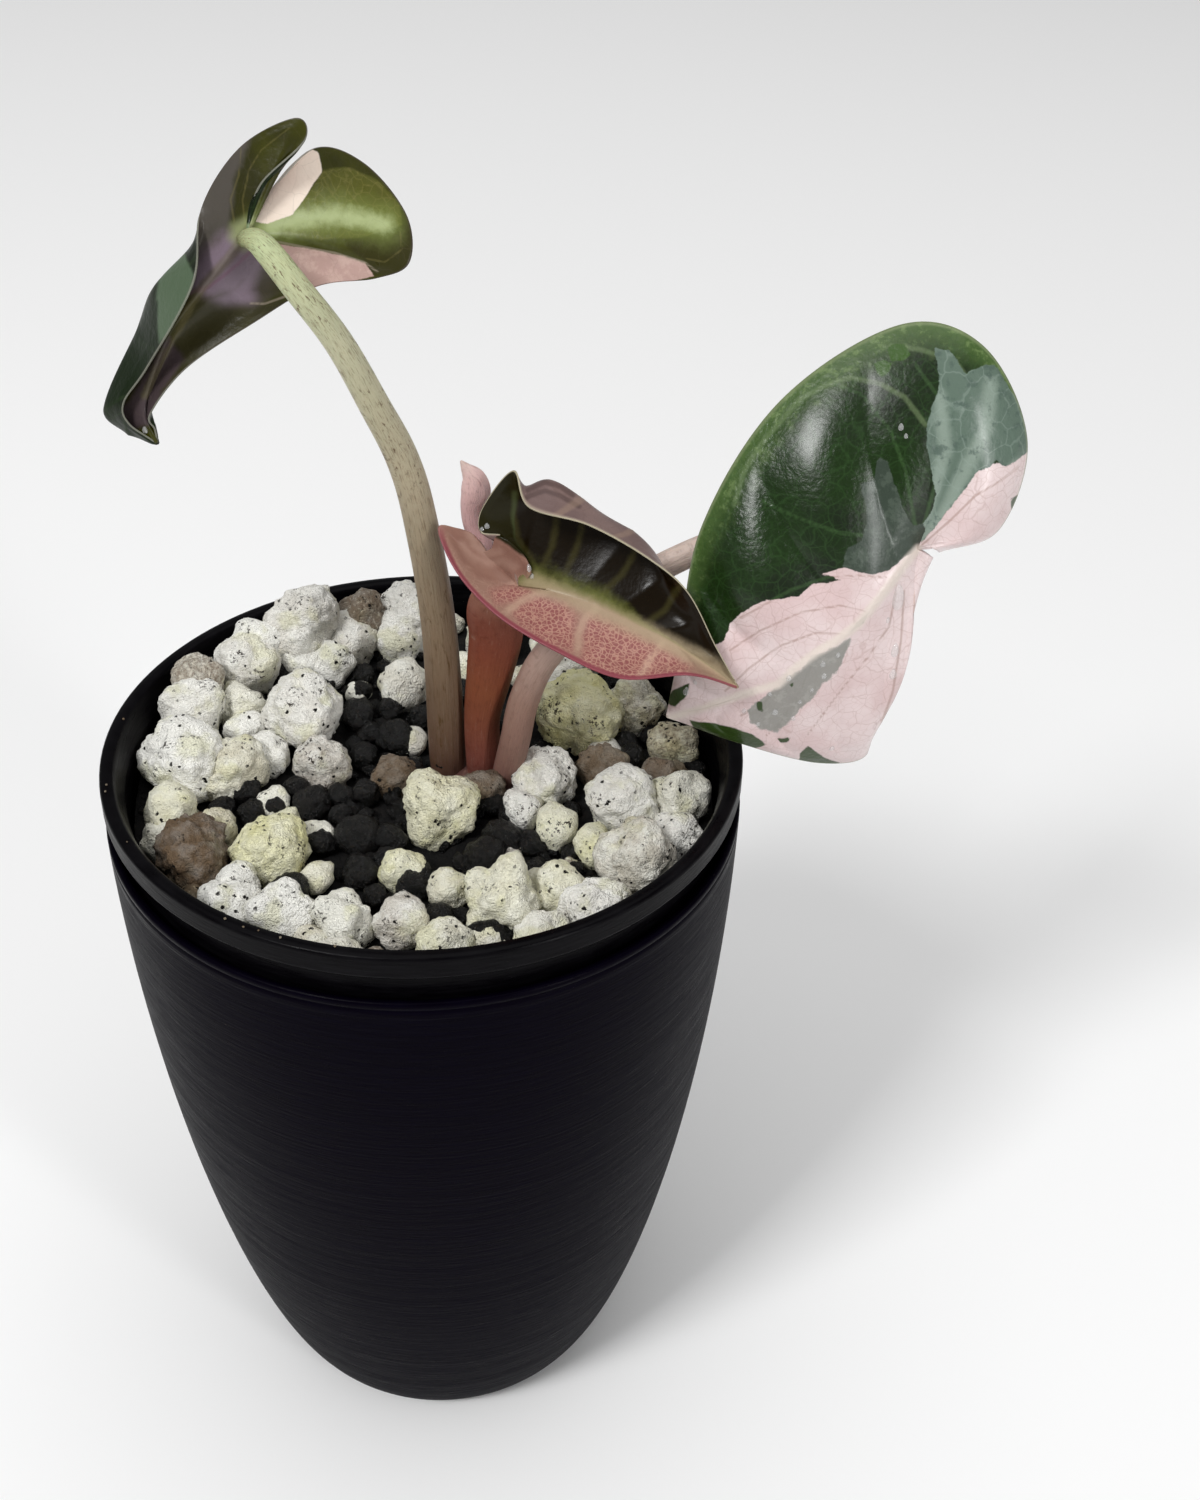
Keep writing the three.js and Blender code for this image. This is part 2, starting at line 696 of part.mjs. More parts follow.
plant.add(named("blade_right", toGeometry(bladeRight), colours.bladeRight, 0.35));
plant.add(named("new_leaf_spear", toGeometry(spear), colours.spear, 0.5));

export default plant;
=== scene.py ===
import math
import random

import bmesh
import bpy
import numpy as np
from mathutils import Matrix, Vector, noise
from mathutils.bvhtree import BVHTree


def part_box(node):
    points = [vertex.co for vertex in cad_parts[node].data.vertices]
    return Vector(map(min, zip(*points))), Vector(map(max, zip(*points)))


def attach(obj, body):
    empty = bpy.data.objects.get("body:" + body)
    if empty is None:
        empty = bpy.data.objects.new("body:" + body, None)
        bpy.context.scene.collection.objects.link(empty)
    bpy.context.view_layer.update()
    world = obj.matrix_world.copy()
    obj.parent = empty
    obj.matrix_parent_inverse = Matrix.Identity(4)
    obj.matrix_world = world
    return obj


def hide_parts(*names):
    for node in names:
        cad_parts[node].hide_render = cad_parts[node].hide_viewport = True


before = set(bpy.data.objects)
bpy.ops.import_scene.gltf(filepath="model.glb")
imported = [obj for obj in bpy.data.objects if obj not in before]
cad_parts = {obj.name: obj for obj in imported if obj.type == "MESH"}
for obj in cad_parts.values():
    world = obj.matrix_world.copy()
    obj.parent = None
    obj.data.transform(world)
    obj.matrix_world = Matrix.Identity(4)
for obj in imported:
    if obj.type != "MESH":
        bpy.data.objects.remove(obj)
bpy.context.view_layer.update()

mm = 0.001

# Camera: the photograph's own view, in metres, degrees and picture points
sight = {
    "eye": (0.0275, -0.2327, 0.3034),
    "elevation": 36.65,
    "roll": 1.56,
    "wide": 1200,
    "high": 1500,
    "focal": 1844,
    "sensor": 36,
    "near": 0.01,
}


def sightAxes():
    slope, roll = math.radians(sight["elevation"]), math.radians(sight["roll"])
    ahead, right = Vector((0, math.cos(slope), -math.sin(slope))), Vector((1, 0, 0))
    up = right.cross(ahead)
    return ahead, right * math.cos(roll) + up * math.sin(roll), up * math.cos(roll) - right * math.sin(roll)


def pictureOf(points):  # picture points, x right and y down, of places in metres
    ahead, across, upright = sightAxes()
    away = np.array(points) - np.array(sight["eye"])
    depth = away @ np.array(ahead)
    x = sight["wide"] / 2 + sight["focal"] * (away @ np.array(across)) / depth
    y = sight["high"] / 2 - sight["focal"] * (away @ np.array(upright)) / depth
    return np.stack([x, y], 1)


def sightLine(x, y):  # the eye and the way from it through a picture point
    ahead, across, upright = sightAxes()
    way = ahead + across * ((x - sight["wide"] / 2) / sight["focal"])
    way -= upright * ((y - sight["high"] / 2) / sight["focal"])
    return Vector(sight["eye"]), way.normalized()


def reach(spots, path):  # distance in picture points from each spot to a given path
    nearest = np.full(len(spots), 1e9)
    for start, end in zip(path, path[1:]):
        start, way = np.array(start, float), np.array(end, float) - start
        share = np.clip(((spots - start) @ way) / max(way @ way, 1e-9), 0, 1)
        nearest = np.minimum(nearest, np.linalg.norm(spots - start - share[:, None] * way, axis=1))
    return nearest


def inwards(spots, outline):  # the same to a closed outline, positive inside it
    closed = [*outline, outline[0]]
    within = np.zeros(len(spots), bool)
    for (x0, y0), (x1, y1) in zip(closed, closed[1:]):
        if y0 != y1:
            crosses = (spots[:, 1] > min(y0, y1)) & (spots[:, 1] <= max(y0, y1))
            within ^= crosses & (spots[:, 0] < x0 + (spots[:, 1] - y0) * (x1 - x0) / (y1 - y0))
    return np.where(within, 1, -1) * reach(spots, closed)


def addCamera():
    ahead, across, upright = sightAxes()
    camera = bpy.data.objects.new("photoCamera", bpy.data.cameras.new("photoCamera"))
    camera.data.sensor_width = sight["sensor"]
    camera.data.lens = sight["sensor"] * sight["focal"] / sight["high"]
    camera.data.clip_start = sight["near"]
    turn = Matrix((across, upright, -ahead)).transposed()
    camera.matrix_world = Matrix.Translation(sight["eye"]) @ turn.to_4x4()
    bpy.context.scene.collection.objects.link(camera)
    bpy.context.scene.camera = camera


addCamera()
print("camera set")


# Shared helpers, and the settings that many nodes share
smooth = {"interpolation_type": "SMOOTHSTEP"}
times, plus = {"operation": "MULTIPLY"}, {"operation": "ADD"}


def linear(colour):
    parts = [int(colour[i : i + 2], 16) / 255 for i in (1, 3, 5)]
    return [p / 12.92 if p <= 0.04045 else ((p + 0.055) / 1.055) ** 2.4 for p in parts] + [1]


def addNode(material, kind, inputs, output=0, **settings):  # inputs by place or by name: values, colours, links
    node = material.node_tree.nodes.new("ShaderNode" + kind)
    for name, value in settings.items():
        setattr(node, name, value)
    for socket, value in inputs.items() if isinstance(inputs, dict) else enumerate(inputs):
        if isinstance(value, bpy.types.NodeSocket):
            material.node_tree.links.new(value, node.inputs[socket])
        else:
            node.inputs[socket].default_value = linear(value) if isinstance(value, str) else value
    return node.outputs[output]


def newMaterial(name, **finish):  # finish: the shader's own sockets, spaces written as _
    material = bpy.data.materials.new(name)
    material.use_nodes = True
    shader = material.node_tree.nodes["Principled BSDF"]
    for socket, value in finish.items():
        shader.inputs[socket.replace("_", " ")].default_value = value
    return material


def dress(material, colour, height=None, depth=0, roughness=None):  # relief: depth in mm for a height of 1
    relief = None
    if height is not None:
        relief = addNode(material, "Bump", {"Height": height, "Distance": depth * mm, "Strength": 1})
    shader = material.node_tree.nodes["Principled BSDF"]
    for socket, value in {"Base Color": colour, "Normal": relief, "Roughness": roughness}.items():
        if value is not None:
            material.node_tree.links.new(value, shader.inputs[socket])
    return material


def layered(material, colour, layers):  # lays each colour over the last, where its ramp and its limits let it show
    for ramp, over, *limits in layers:
        mask = addNode(material, "MapRange", ramp, **smooth)
        for limit in limits:
            mask = addNode(material, "Math", [mask, limit], **times)
        colour = addNode(material, "Mix", {0: mask, 6: colour, 7: over}, 2, data_type="RGBA")
    return colour


def finishPiece(mesh, name, materials, nodes=()):
    data = bpy.data.meshes.new(name)
    mesh.to_mesh(data)
    mesh.free()
    data.shade_smooth()
    piece = bpy.data.objects.new(name, data)
    bpy.context.scene.collection.objects.link(piece)
    for material in materials:
        data.materials.append(material)
    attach(piece, "root")
    if nodes:
        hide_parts(*nodes)
    return piece


def spun(profile, steps):  # a turned shape from [radius, height] pairs in mm
    mesh = bmesh.new()
    verts = [mesh.verts.new((radius * mm, 0, height * mm)) for radius, height in profile]
    edges = [mesh.edges.new(pair) for pair in zip(verts, verts[1:])]
    bmesh.ops.spin(
        mesh, geom=verts + edges, cent=(0, 0, 0), axis=(0, 0, 1), angle=2 * math.pi, steps=steps, use_merge=True
    )
    bmesh.ops.remove_doubles(mesh, verts=mesh.verts, dist=0.002 * mm)
    bmesh.ops.recalc_face_normals(mesh, faces=mesh.faces)
    return mesh


# Pots, in mm: layer-printed plastic, turned from their profiles with every printed layer in relief
pots = {
    "base": 29,
    "lip": 50,
    "lipHeight": 122.7,
    "wall": 1.3,
    "floor": 2.4,
    "power": 1.77,
    "ease": 0.69,
    "band": 2.3,
    "rimTop": 131.2,
    "rimFace": 4,
    "rimInner": 47.8,
    "liner": 47.9,
    "linerWall": 1.4,
    "linerFloor": 34,
    "foot": 15,
    "layer": 0.5,
    "relief": 0.045,
    "sides": 144,
    "innerRows": (121, 118, 110, 98, 84, 68, 52, 38, 26, 16, 8, 4.5),
    "linerRows": (35, 42, 58, 78, 98, 114),
    "footStart": 2.7,
    "outerTones": ("#030108", "#050310", 0.02),
    "linerTones": ("#040305", "#121114", 0.05),
}


def potRadius(height):
    rise = min(1, height / pots["lipHeight"])
    return pots["base"] + (pots["lip"] - pots["base"]) * (1 - (1 - rise) ** pots["power"]) ** pots["ease"]


def linerOuter(height):
    return min(pots["liner"], potRadius(height) - pots["wall"] - 1)


def printed(radiusAt, low, high, seed, side=1):  # layers from low to high, each a shallow bulge
    draw = random.Random(seed)
    rows, count = [], max(1, round((high - low) / pots["layer"]))
    for i in range(count):
        height = low + (high - low) * i / count
        deep = pots["relief"] * (1 + 0.6 * draw.random())
        bulge = 0.3 * pots["relief"] * draw.random()
        rows.append([radiusAt(height) - side * deep, height])
        middle = height + 0.5 * (high - low) / count
        rows.append([radiusAt(middle) + side * bulge, middle])
    return rows


def printedPlastic(name, colour, worn, shine):
    # PLA, printed in thin layers: satin black, with a soft sheen that the layer lines comb sideways
    material = newMaterial(name, Specular_IOR_Level=shine)
    where = addNode(material, "TexCoord", {}, "Object")
    combed = addNode(material, "Mapping", {"Vector": where, "Scale": (1, 1, 9)})
    streaks, scuffs, lines = (
        addNode(material, "TexNoise", {"Vector": spot, "Scale": 1 / (size * mm), "Detail": detail, "Roughness": rough})
        for spot, size, detail, rough in ((combed, 6, 4, 0.6), (where, 1.3, 4, 0.7), (combed, 4, 3, 0.6))
    )
    shade = layered(material, colour, [([streaks, 0.35, 0.75, 0, 0.5], worn), ([scuffs, 0.68, 0.8], worn)])
    satin = addNode(material, "MapRange", [streaks, 0.2, 0.8, 0.24, 0.4], **smooth)
    return dress(material, shade, lines, 0.055, satin)


def addPots():
    lip, height, band, wall = pots["lip"], pots["lipHeight"], pots["band"], pots["wall"]
    profile = [[0, 0], [potRadius(0) - 1, 0], [potRadius(0) - 0.4, 0.1], [potRadius(0.4), 0.4]]
    profile += printed(potRadius, 0.8, height - band - 0.4, 3)
    profile += [[potRadius(height - band), height - band - 0.3], [lip, height - band], [lip, height - 1.6]]
    profile += [[lip - 0.12, height - 1.45], [lip - 0.12, height - 1.3], [lip, height - 1.15]]
    profile += [[lip, height - 0.3], [lip - 0.3, height], [lip - 1, height]]
    profile += [[potRadius(h) - wall, h] for h in pots["innerRows"]]
    profile += [[potRadius(pots["floor"]) - wall - 1, pots["floor"]], [0, pots["floor"]]]
    black = printedPlastic("printedBlackPlastic", *pots["outerTones"])
    finishPiece(spun(profile, pots["sides"]), "outerPot", [black], ["outer_pot"])

    top, liner, wall, foot, floor = (pots[key] for key in ("rimTop", "liner", "linerWall", "foot", "linerFloor"))
    start, under, bore = pots["footStart"], top - pots["rimFace"], pots["rimInner"]
    profile = [[0, start], [foot - 0.6, start], [foot, start + 0.6], [foot, floor - wall]]
    profile += [[linerOuter(floor) - 1.5, floor - wall], *([linerOuter(h), h] for h in pots["linerRows"])]
    profile += printed(lambda h: liner, under - 6, under - 0.3, 5)
    profile += [[liner, under], [lip - 0.4, under]]
    profile += printed(lambda h: lip - 0.05, under + 0.4, top - 0.5, 7)
    profile += [[lip - 0.12, top - 0.25], [lip - 0.4, top], [bore + 0.3, top], [bore, top - 0.3]]
    profile += printed(lambda h: liner - wall + 1.2 * max(0, (h - 127) / 4.2), 116, top - 0.5, 9, -1)[::-1]
    profile += [[linerOuter(h) - wall, h] for h in pots["linerRows"][:0:-1]]
    profile += [[linerOuter(floor) - 1.5 - wall, floor], [foot - wall, floor]]
    profile += [[foot - wall, start + wall], [0, start + wall]]
    dark = printedPlastic("printedDarkPlastic", *pots["linerTones"])
    finishPiece(spun(profile, pots["sides"]), "linerPot", [dark], ["inner_pot"])


addPots()
print("pots turned")


# Growing mix, in mm: pumice chunks [x, y, z, width, yellow, soil], black pellets between them, a dark bed below, whose
# colour is partly painted shade between the chunks
mix = {
    "top": 117.6,
    "heap": 0.13,
    "roomRadius": 46.2,
    "chunkHeight": 0.95,
    "crumbs": 190,
    "grit": 620,
    "rimCrumbs": 9,
    "bedDepth": 4,
    "bandMean": 29,
    "bandSpread": 8,
    "bandTurn": math.radians(118),
    "largeChunk": 9.2,
    "stems": (8.2, 7, 13),
    "crumbReach": 44,
    "crumbWidth": (3, 6.5),
    "gritReach": 45,
    "gritWidth": (1.2, 4.2),
    "bedRadius": 45.9,
    "bedCells": 110,
    "bedRise": 1.2,
    "rimArc": (150, 262),
    "rimReach": (48.2, 49.4),
    "rimWidth": (0.25, 0.5),
}
chunks = [
    [-24.5, 32.5, 132, 11, 0, 0.2], [-31.5, 27.5, 131, 8, 0, 0], [-33, 23.5, 129.5, 10, 0, 0.15],
    [-39.5, 16, 131.5, 7, 0.1, 0.45], [-39.5, 11.5, 128.5, 9, 0, 0.1], [-38.5, 6, 125, 6, 0.7, 0.5],
    [-14.5, 39, 130, 8.5, 0.1, 0.6], [-16, 33.5, 127.5, 9, 0, 0.2], [-7, 40.5, 129.5, 9.5, 0, 0.1],
    [-8.5, 36, 127, 9, 0, 0.1], [-24.5, 28, 127, 7.5, 0, 0.05], [-18.5, 28, 126.5, 7, 0, 0],
    [-21.5, 14, 126, 12.5, 0, 0.12], [-6, 24.5, 125, 8, 0.1, 0.2], [-32.5, 15, 126, 7.5, 0.15, 0.1],
    [-30.5, 10, 125, 6, 0, 0], [-26, 5.5, 124, 6, 0, 0.05], [-39, 0, 126, 12.5, 0, 0.02],
    [-31, 0, 124.5, 10, 0.25, 0.25], [-17.5, 3.5, 123.5, 8.5, 0, 0.35], [-38.5, -10, 123.5, 8.5, 0.35, 0.1],
    [-34, -19.5, 123, 11.5, 0, 0.9], [-22, -18, 123, 11, 0.6, 0.05], [2.5, -6.5, 123, 11.5, 0.45, 0.1],
    [24, 19, 123.5, 14, 0.75, 0.12], [18.5, 2.5, 122.5, 9.5, 0, 0.12], [8.5, -0.5, 122, 7.5, 0.1, 0.75],
    [-5.5, 3, 122, 6.5, 0.1, 0.8], [15.5, -5, 122, 6.5, 0, 0.05], [21, -9, 122, 7, 0.35, 0],
    [31, -4, 123, 10.5, 0, 0.1], [41, -2.5, 123, 9, 0.15, 0.05], [33.5, -17.5, 123, 11, 0.1, 0.3],
    [40.5, -12, 122.5, 8, 0, 0.05], [13.5, -28, 123, 11, 0.3, 0.1], [21.5, -24.5, 122.5, 8, 0.35, 0.1],
    [-9, -32.5, 122.5, 8.5, 0.1, 0], [-1, -32.5, 122, 8, 0, 0.3], [-18.5, -31.5, 122.5, 9, 0, 0],
    [-26, -25.5, 122, 7, 0, 0], [27, -13, 121.5, 6.5, 0.5, 0], [40.5, 11, 123.5, 8, 0.4, 0.4],
    [28, 7, 122, 7, 0.2, 0.75], [6, -37, 122, 7.5, 0.2, 0.1], [30, -31, 122, 10, 0, 0.1],
    [36, 25, 122.5, 9.5, 0.2, 0.3], [22, 37, 123.5, 11, 0, 0.1], [8, 39, 124.5, 9, 0, 0.1],
    [-9, -41.5, 122, 6.5, 0.1, 0.2], [-29, -34, 122, 9, 0, 0], [21, -37.5, 122, 8.5, 0.1, 0.1],
    [-42, -16, 122, 6, 0.2, 0.1], [38, 3.5, 122.5, 6.5, 0.1, 0.7], [5.5, -24, 121.5, 6, 0.3, 0.2],
    [-2, -20, 121.5, 7, 0.5, 0.05], [-31.5, -12, 122, 6, 0.3, 0.3],
]
# Black pellets where the photograph shows them: [picture x, picture y, radius in picture points]
pellets = [
    [273, 673, 16], [307, 680, 12], [255, 703, 11], [364, 674, 11], [362, 690, 10], [359, 715, 17], [389, 710, 12],
    [420, 716, 12], [398, 738, 20], [364, 755, 14], [372, 732, 10], [313, 803, 18], [341, 796, 13], [366, 793, 14],
    [341, 816, 12], [321, 842, 14], [359, 838, 22], [320, 872, 11], [359, 872, 18], [389, 839, 16], [389, 864, 17],
    [417, 882, 20], [374, 895, 12], [290, 892, 20], [437, 920, 18], [491, 935, 22], [483, 859, 22], [501, 841, 20],
    [534, 872, 13], [531, 844, 14], [577, 869, 8], [592, 895, 20], [582, 912, 16], [245, 791, 16], [273, 803, 15],
    [222, 808, 12], [252, 813, 14], [295, 788, 12], [640, 707, 16], [658, 717, 9], [602, 692, 10], [627, 743, 12],
    [632, 758, 14], [490, 803, 14], [445, 758, 13], [620, 720, 13], [690, 755, 15], [705, 770, 13], [410, 770, 13],
    [395, 785, 12], [420, 795, 11], [340, 770, 11], [510, 815, 12], [650, 735, 10], [675, 730, 12], [615, 765, 9],
]


def heap(x, y):
    return mix["heap"] * max(0, y - 0.6 * x - 5)


def inside(x, y, width):
    most = mix["roomRadius"] - 0.3 - 0.6 * width
    pull = min(1, most / math.hypot(x, y))
    return x * pull, y * pull


def addLump(mesh, centre, width, level, seed, shape, marks, foot=None, room=mix["roomRadius"]):
    draw = random.Random(seed)
    shift = Vector((draw.uniform(-50, 50), draw.uniform(-50, 50), draw.uniform(-50, 50)))
    stretch, turn = 0.88 + 0.24 * draw.random(), Matrix.Rotation(draw.uniform(0, math.pi), 3, "Z")
    swell, lobes, count, rough, flat = shape  # lobes: how deep, count: how many
    for vert in bmesh.ops.create_icosphere(mesh, subdivisions=level, radius=1)["verts"]:
        way = vert.co.normalized()
        size = 1 + swell * noise.noise(way * 1.1 + shift)
        if lobes:  # rounded knobs with creases between them, as on popcorn
            size += lobes * (0.45 - noise.voronoi(way * count + shift)[0][0] ** 2)
        size += rough * (noise.noise(way * 4 + shift) + 0.5 * noise.noise(way * 9 - shift))
        size += 0.3 * rough * noise.noise(way * 19 + shift)
        point = way * size
        point = turn @ Vector((point.x * stretch, point.y / stretch, point.z * flat))
        point = Vector(centre) + point * (width / 2)
        if foot is not None and point.z < centre[2]:  # drawn down to the foot that it stands on
            sink = max(1, (centre[2] - foot) / (width / 2 * flat))
            point.z = centre[2] - (centre[2] - point.z) * sink
        near = min(1, room / max(math.hypot(point.x, point.y), 1e-6))  # pressed against the wall
        vert.co = Vector((point.x * near, point.y * near, point.z)) * mm
        for layer, value in marks.items():
            vert[mesh.verts.layers.float[layer]] = value


def lumpMesh(*layers):
    mesh = bmesh.new()
    for layer in layers:
        mesh.verts.layers.float.new(layer)
    return mesh


def pumiceStone():
    # Horticultural pumice, crushed and sieved: chalky, pitted, with black mineral specks and soil stains
    material = newMaterial("crushedPumice", Roughness=0.92, Specular_IOR_Level=0.25)
    where = addNode(material, "TexCoord", {}, "Object")
    yellow, soil = (addNode(material, "Attribute", {}, "Fac", attribute_name=layer) for layer in ("yellow", "soil"))
    grains = (  # size in mm, detail, roughness
        (4, 4, 0.6), (0.7, 4, 0.65), (4, 3, 0.6), (0.5, 3, 0.7), (0.8, 4, 0.75), (5, 3, 0.6), (6, 3, 0.55),
        (0.33, 2, 0.55),
    )
    broad, fine, patches, nicks, crumbs, crusts, moss, pores = (
        addNode(material, "TexNoise", {"Vector": where, "Scale": 1 / (size * mm), "Detail": detail, "Roughness": rough})
        for size, detail, rough in grains
    )
    flecks = addNode(material, "TexVoronoi", {"Vector": where, "Scale": 1 / (1.5 * mm)}, "Distance", feature="F1")
    ragged = addNode(material, "Math", [nicks, 0.75, flecks], operation="MULTIPLY_ADD")
    dirt = addNode(material, "Math", [fine, soil], **plus)
    chosen, crust, dents, pits = (
        addNode(material, "MapRange", ramp, **smooth)
        for ramp in ([patches, 0.47, 0.56], [crusts, 0.54, 0.62], [fine, 0.3, 0.62], [pores, 0.25, 0.7])
    )
    tone = layered(material, "#fcfbf4", [
        ([broad, 0.52, 0.74, 0, 0.3], "#dcd9cf"), ([moss, 0.5, 0.66, 0, 0.55], "#e6e5bd"),
        ([broad, 0.2, 0.7, 0.5, 1], "#e4e08c", yellow), ([broad, 0.3, 0.62, 0, 1.1], "#a08a6e", soil),
        ([dirt, 0.78, 1.15, 0, 0.8], "#5d4936"), ([fine, 0.62, 0.78, 0, 0.35], "#aaa290"),
        ([crumbs, 0.55, 0.59, 0, 0.95], "#2b231b", crust), ([ragged, 0.55, 0.6, 1, 0], "#16130f", chosen),
    ])
    return dress(material, tone, addNode(material, "Math", [dents, pits], **plus), 0.2)


def blackGranule():
    # Carbonised granules, damp: charcoal black with a fine dull grain and a faint wet sheen
    material = newMaterial("charcoalGranule", Specular_IOR_Level=0.35)
    where = addNode(material, "TexCoord", {}, "Object")
    broad, fine = (
        addNode(material, "TexNoise", {"Vector": where, "Scale": 1 / (size * mm), "Detail": detail, "Roughness": rough})
        for size, detail, rough in ((2.2, 3, 0.55), (0.4, 4, 0.7))
    )
    tone = layered(material, "#040404", [
        ([broad, 0.52, 0.78, 0, 0.6], "#191410"), ([fine, 0.58, 0.66, 0, 0.4], "#4a3f31"),
    ])
    return dress(material, tone, fine, 0.45, addNode(material, "MapRange", [broad, 0.35, 0.65, 0.15, 0.4], **smooth))


def darkBedAndShade():
    # Fines washed down between the chunks: wet black-brown grit. Its dark colour, spread under all the chunks, is also
    # painted shade for the gaps between them
    material = newMaterial("dampFinesAndShade", Roughness=0.8, Specular_IOR_Level=0.3)
    where = addNode(material, "TexCoord", {}, "Object")
    broad, fine = (
        addNode(material, "TexNoise", {"Vector": where, "Scale": 1 / (size * mm), "Detail": detail, "Roughness": rough})
        for size, detail, rough in ((3, 3, 0.55), (0.6, 4, 0.7))
    )
    tone = layered(material, "#060505", [
        ([broad, 0.5, 0.75, 0, 0.6], "#1b1612"), ([fine, 0.66, 0.72, 0, 0.5], "#5b5245"),
    ])
    return dress(material, tone, fine, 0.6)


def bandReach(turn):
    return mix["bandMean"] + mix["bandSpread"] * math.cos(2 * (turn - mix["bandTurn"]))


def clearOf(x, y, width, taken, share=0.42):
    return all(math.hypot(x - a, y - b) > share * (width + w) for a, b, w in taken)


def addMix():
    stone, granule = pumiceStone(), blackGranule()
    mesh = lumpMesh("yellow", "soil")
    taken = []
    for i, (x, y, z, width, yellow, soil) in enumerate(chunks):
        x, y = inside(x, y, width)
        taken.append((x, y, width))
        foot = mix["top"] + heap(x, y) - 0.5
        draw = random.Random(70 + i)
        knobs = draw.uniform(0.22, 0.46) if yellow < 0.4 else 0.14
        shape = (draw.uniform(0.16, 0.4), knobs, draw.uniform(0.8, 1.35), 0.09 + 0.07 * soil, mix["chunkHeight"])
        level = 5 if width > mix["largeChunk"] else 4
        addLump(mesh, (x, y, z), width, level, 20 + i, shape, {"yellow": yellow, "soil": soil}, foot)
    finishPiece(mesh, "pumiceChunks", [stone], ["pumice_fill"])

    draw = random.Random(8)
    mesh = lumpMesh("yellow", "soil")
    stems = [mix["stems"]]
    for i in range(mix["crumbs"]):
        turn, away = draw.uniform(0, 2 * math.pi), mix["crumbReach"] * math.sqrt(draw.random())
        width = draw.uniform(*mix["crumbWidth"])
        x, y = inside(away * math.cos(turn), away * math.sin(turn), width)
        inBand = math.hypot(x, y) < bandReach(math.atan2(y, x)) - 2
        marks = {"yellow": 0.5 * draw.random() ** 2, "soil": 0.7 * draw.random() ** 1.5}
        if not clearOf(x, y, width, taken, 0.36) or not clearOf(x, y, width, stems, 0.5) or (inBand and i % 6):
            continue
        taken.append((x, y, 0.7 * width))
        z = mix["top"] + heap(x, y) + 0.4 * width + 1
        addLump(mesh, (x, y, z), width, 3, 300 + i, (0.3, 0.3, 1.2, 0.06, 0.85), marks)
    finishPiece(mesh, "pumiceCrumbs", [stone])

    mesh = lumpMesh()
    for i, (x, y, radius) in enumerate(pellets):
        eye, way = sightLine(x, y)
        height = mix["top"] + 3
        for _ in range(4):  # settles on the heap
            spot = eye + way * ((height * mm - eye.z) / way.z)
            height = mix["top"] + 3.2 + heap(spot.x / mm, spot.y / mm)
        width = 2 * radius * (spot - eye).length / sight["focal"] / mm
        x, y = inside(spot.x / mm, spot.y / mm, width)
        addLump(mesh, (x, y, height), width, 4, 600 + i, (0.25, 0.12, 1.1, 0.1, 0.95), {})
    finishPiece(mesh, "blackPellets", [granule], ["black_granules"])

    mesh = lumpMesh()
    for i in range(mix["grit"]):
        turn, away = draw.uniform(0, 2 * math.pi), mix["gritReach"] * math.sqrt(draw.random())
        width = draw.uniform(*mix["gritWidth"])
        x, y = inside(away * math.cos(turn), away * math.sin(turn), width)
        inBand = math.hypot(x, y) < bandReach(math.atan2(y, x)) or x > 20 and y > 8
        if not clearOf(x, y, width, stems, 0.47) or not (inBand or i % 3 == 0):
            continue
        z = mix["top"] + heap(x, y) + 0.9 + (1.6 if inBand else 0.4) * draw.random()
        addLump(mesh, (x, y, z), width, 1, 900 + i, (0.4, 0, 1, 0.3, 0.9), {})
    finishPiece(mesh, "blackGrit", [granule])

    # the bed: dark grit, and painted shade where the gaps between the chunks lie in shadow
    mesh = bmesh.new()
    bmesh.ops.create_grid(mesh, x_segments=mix["bedCells"], y_segments=mix["bedCells"], size=1)
    for vert in mesh.verts:  # a square grid drawn in to a disc
        x, y = vert.co.x, vert.co.y
        x, y = (a * math.sqrt(1 - b * b / 2) * mix["bedRadius"] for a, b in ((x, y), (y, x)))
        rough = 0.9 * noise.noise(Vector((x, y, 0)) * 0.5) + 0.6 * noise.noise(Vector((x, y, 9)) * 1.4)
        vert.co = Vector((x, y, mix["top"] + mix["bedRise"] + heap(x, y) + rough)) * mm
    slab = bmesh.ops.extrude_face_region(mesh, geom=mesh.faces[:], use_keep_orig=True)
    low = [part for part in slab["geom"] if isinstance(part, bmesh.types.BMVert)]
    bmesh.ops.translate(mesh, verts=low, vec=(0, 0, -mix["bedDepth"] * mm))
    bmesh.ops.recalc_face_normals(mesh, faces=mesh.faces)
    finishPiece(mesh, "mixBed", [darkBedAndShade()])

    mesh = lumpMesh("yellow", "soil")
    for i in range(mix["rimCrumbs"]):  # a few light crumbs left lying on the rim
        turn, away = math.radians(draw.uniform(*mix["rimArc"])), draw.uniform(*mix["rimReach"])
        width = draw.uniform(*mix["rimWidth"])
        spot = (away * math.cos(turn), away * math.sin(turn), pots["rimTop"] + 0.3 * width)
        addLump(mesh, spot, width, 1, 1700 + i, (0.3, 0, 1, 0.1, 0.8), {"yellow": 0.3, "soil": 0.8}, room=pots["lip"])
    finishPiece(mesh, "rimCrumbs", [stone])


addMix()
print("mix filled")


# Curves
def curveAt(points, share):  # the same smooth curve as the solids: through every given point
    count = len(points) - 1
    spot = min(max(share, 0), 1) * count
    piece = min(int(spot), count - 1)
    part = spot - piece
    b, c = points[piece], points[piece + 1]
    a = points[piece - 1] if piece > 0 else b * 2 - c
    d = points[piece + 2] if piece + 2 <= count else c * 2 - b
    start, end = (c - a) * 0.5, (d - b) * 0.5
    return b + start * part + ((c - b) * 3 - start * 2 - end) * part**2 + ((b - c) * 2 + start + end) * part**3


